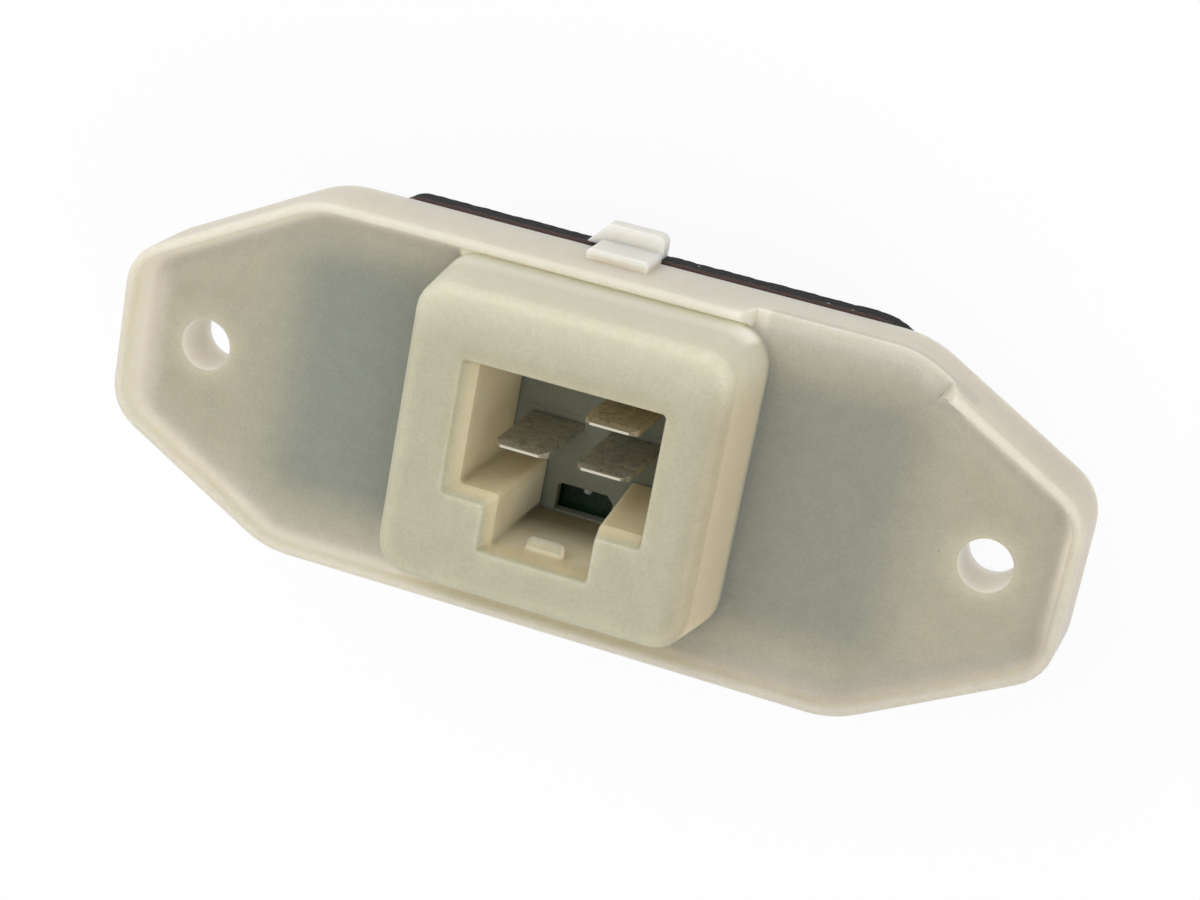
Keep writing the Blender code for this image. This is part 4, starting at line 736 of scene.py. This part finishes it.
def select_points(piece, area, bottom, top):
    """Go to edit mode with only the points inside a box selected, given by its area and levels."""
    left, right, low, high = area
    pick(piece)
    bpy.ops.object.mode_set(mode="EDIT")
    bpy.ops.mesh.select_mode(type="VERT")
    bpy.ops.mesh.select_all(action="DESELECT")
    bpy.ops.object.mode_set(mode="OBJECT")
    for point in piece.data.vertices:
        x, y, z = point.co
        point.select = left < x < right and low < y < high and bottom < z < top
    bpy.ops.object.mode_set(mode="EDIT")


def narrow_blade_openings(piece):
    """Close the openings of the back wall round the blades."""
    room_x, room_y = BLADE_ROOM
    for x, y in BLADE_CENTRES:
        area = (x - room_x, x + room_x, y - room_y, y + room_y)
        select_points(piece, area, SOCKET_FLOOR_Z - BLADE_ROOM_DEPTH, SOCKET_FLOOR_Z + LEVEL_SLACK)
        bpy.ops.transform.resize(value=BLADE_FIT, center_override=(x, y, SOCKET_FLOOR_Z))
        bpy.ops.object.mode_set(mode="OBJECT")


def make_moulding(material):
    """The housing with the soft edges that a moulding has."""
    piece = copy_of_node("housing", "softened_moulding")
    for area, level, shift in POINT_MOVES:
        select_points(piece, area, level - LEVEL_SLACK, level + LEVEL_SLACK)
        bpy.ops.transform.translate(value=shift)
        bpy.ops.object.mode_set(mode="OBJECT")
    narrow_blade_openings(piece)
    apply_modifier(piece, "BEVEL", width=MOULDED_EDGE, segments=3, limit_method="ANGLE",
                   angle_limit=EDGE_ANGLE, use_clamp_overlap=True)
    pick(piece)
    bpy.ops.object.shade_smooth_by_angle(angle=SMOOTH_ANGLE)
    apply_modifier(piece, "WEIGHTED_NORMAL", keep_sharp=True)
    dress(piece, "housing", material)


def make_foam(material):
    """Foam ring with uneven cut faces and softened edges."""
    piece = copy_of_node("gasket", "foam_gasket")
    apply_modifier(piece, "REMESH", mode="VOXEL", voxel_size=FOAM_VOXEL, use_smooth_shade=True)
    cells = bpy.data.textures.new("foam_cells", "CLOUDS")
    cells.noise_scale = FOAM_CELL
    cells.noise_depth = 3
    apply_modifier(piece, "DISPLACE", texture=cells, texture_coords="LOCAL", strength=FOAM_ROUGHNESS,
                   mid_level=FOAM_MID_LEVEL)
    pick(piece)
    bpy.ops.object.shade_smooth()
    dress(piece, "gasket", material)


def make_solder_dot(material):
    """Solder joint on the board: a hollow flank that rises to a rounded pin end."""
    bpy.ops.object.select_all(action="DESELECT")
    x, y = SOLDER_DOT_PLACE
    height = BOARD_HIGH.z + SOLDER_DOT_GAP
    bpy.ops.mesh.primitive_circle_add(vertices=SOLDER_DOT_SIDES, radius=SOLDER_DOT_RADIUS,
                                      fill_type="NGON", location=(x, y, height))
    piece = bpy.context.object
    piece.name = "solder_dot"
    bpy.ops.object.transform_apply(location=True, rotation=True, scale=True)
    bpy.ops.object.mode_set(mode="EDIT")
    bpy.ops.mesh.select_all(action="SELECT")
    for rise, narrowing in SOLDER_DOT_STEPS:
        bpy.ops.mesh.extrude_region_move(TRANSFORM_OT_translate={"value": (0.0, 0.0, rise)})
        height += rise
        bpy.ops.transform.resize(value=(narrowing, narrowing, 1.0), center_override=(x, y, height))
    bpy.ops.mesh.select_all(action="SELECT")
    bpy.ops.mesh.normals_make_consistent(inside=False)
    bpy.ops.object.mode_set(mode="OBJECT")
    bpy.ops.object.shade_smooth()
    piece.data.materials.append(material)
    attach(piece, "root")


def assign(material, *nodes):
    """Put a material on CAD nodes."""
    for node in nodes:
        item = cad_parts[node]
        item.data.materials.clear()
        item.data.materials.append(material)


def dress_metal_and_board():
    """Materials of the CAD nodes that keep their own shape, and the solder dot."""
    assign(blade_metal("tinned_blade", TIN, BRASS), *LOWER_BLADES)
    assign(blade_metal("brass_blade", BRASS, TIN), "blade_upper_right")
    assign(green_laminate(), "circuit_board")
    assign(cast_aluminium(), "heat_sink")
    # The solder's light matt grey is a painted highlight
    make_solder_dot(matt_finish("solder", SOLDER_PAINTED_HIGHLIGHT, roughness=0.35, scale=3000.0, relief=0.00003))
    assign(plated_steel(), *STEEL_NODES)
    assign(matt_finish("grey_silicone", SILICONE, roughness=0.8, scale=3000.0, relief=0.00005), "thermal_pad")
    assign(matt_finish("black_epoxy", EPOXY, roughness=0.5, scale=3500.0, relief=0.00004), *EPOXY_NODES)
    assign(aluminium_can(), "smoothing_capacitor")
    dark = matt_finish("dark_ceramic", DARK_CERAMIC, roughness=0.4, scale=5000.0, relief=0.00002)
    assign(dark, *DARK_NODES)
    tan = matt_finish("tan_ceramic", TAN_CERAMIC, roughness=0.5, scale=5000.0, relief=0.00002)
    assign(tan, *TAN_NODES)


def place_camera():
    """Camera at the photograph's viewing angle."""
    data = bpy.data.cameras.new("camera")
    data.lens = CAMERA_LENS
    data.sensor_width = SENSOR_WIDTH
    data.sensor_fit = "HORIZONTAL"
    data.clip_start = CAMERA_CLIP_START
    camera = bpy.data.objects.new("camera", data)
    bpy.context.scene.collection.objects.link(camera)
    look = (CAMERA_AIM - CAMERA_PLACE).to_track_quat("-Z", "Y").to_matrix().to_4x4()
    camera.matrix_world = Matrix.Translation(CAMERA_PLACE) @ look @ Matrix.Rotation(CAMERA_ROLL, 4, "Z")
    bpy.context.scene.camera = camera


def soft_light(name, place, size, power):
    """Square soft box that points at the object."""
    data = bpy.data.lights.new(name, "AREA")
    data.shape = "SQUARE"
    data.size = size
    data.energy = power
    light = bpy.data.objects.new(name, data)
    bpy.context.scene.collection.objects.link(light)
    light.location = place
    light.rotation_euler = (Vector((0.0, 0.0, TRAY_Z)) - Vector(place)).to_track_quat("-Z", "Y").to_euler()


def seen_by_eye(recipe):
    """Mask of what the camera sees directly, in a reflection or through glass."""
    path = recipe.add("LightPath")
    direct = recipe.maths("MAXIMUM", path.outputs["Is Camera Ray"], path.outputs["Is Transmission Ray"])
    return recipe.maths("MAXIMUM", direct, path.outputs["Is Glossy Ray"])


def light_world():
    """World that fills the shadows softly and is white where it is seen, reflected or seen through."""
    world = bpy.data.worlds.new("studio")
    bpy.context.scene.world = world
    world.use_nodes = True
    world.node_tree.nodes.clear()
    recipe = Recipe(world.node_tree)
    fill = recipe.add("Background")
    fill.inputs["Strength"].default_value = WORLD_FILL
    white = recipe.add("Background")
    mix = recipe.add("MixShader")
    recipe.feed(mix.inputs["Fac"], seen_by_eye(recipe))
    recipe.feed(mix.inputs[1], fill.outputs[0])
    recipe.feed(mix.inputs[2], white.outputs[0])
    recipe.feed(recipe.add("OutputWorld").inputs["Surface"], mix.outputs[0])


def make_floor():
    """Pale floor under the heat sink's foot, which keeps a soft shadow."""
    bpy.ops.object.select_all(action="DESELECT")
    bpy.ops.mesh.primitive_plane_add(size=FLOOR_SIZE, location=(0.0, 0.0, SINK_LOW.z))
    floor = bpy.context.object
    floor.name = "floor"
    material = bpy.data.materials.new("pale_floor")
    material.use_nodes = True
    material.node_tree.nodes.clear()
    recipe = Recipe(material.node_tree)
    diffuse = recipe.add("BsdfDiffuse")
    diffuse.inputs["Color"].default_value = FLOOR_PAINT
    glow = recipe.add("Emission")
    mix = recipe.add("MixShader")
    recipe.feed(mix.inputs["Fac"], recipe.maths("MULTIPLY", seen_by_eye(recipe), FLOOR_WHITE))
    recipe.feed(mix.inputs[1], diffuse.outputs[0])
    recipe.feed(mix.inputs[2], glow.outputs[0])
    recipe.feed(recipe.add("OutputMaterial").inputs["Surface"], mix.outputs[0])
    floor.data.materials.append(material)


def main():
    """Dress the part and set up the studio."""
    bpy.context.scene.view_settings.view_transform = "Standard"
    place_camera()
    light_world()
    soft_light("key_light", *KEY_LIGHT)
    soft_light("side_light", *SIDE_LIGHT)
    make_floor()
    make_moulding(ivory_plastic())
    make_foam(black_foam())
    dress_metal_and_board()


main()
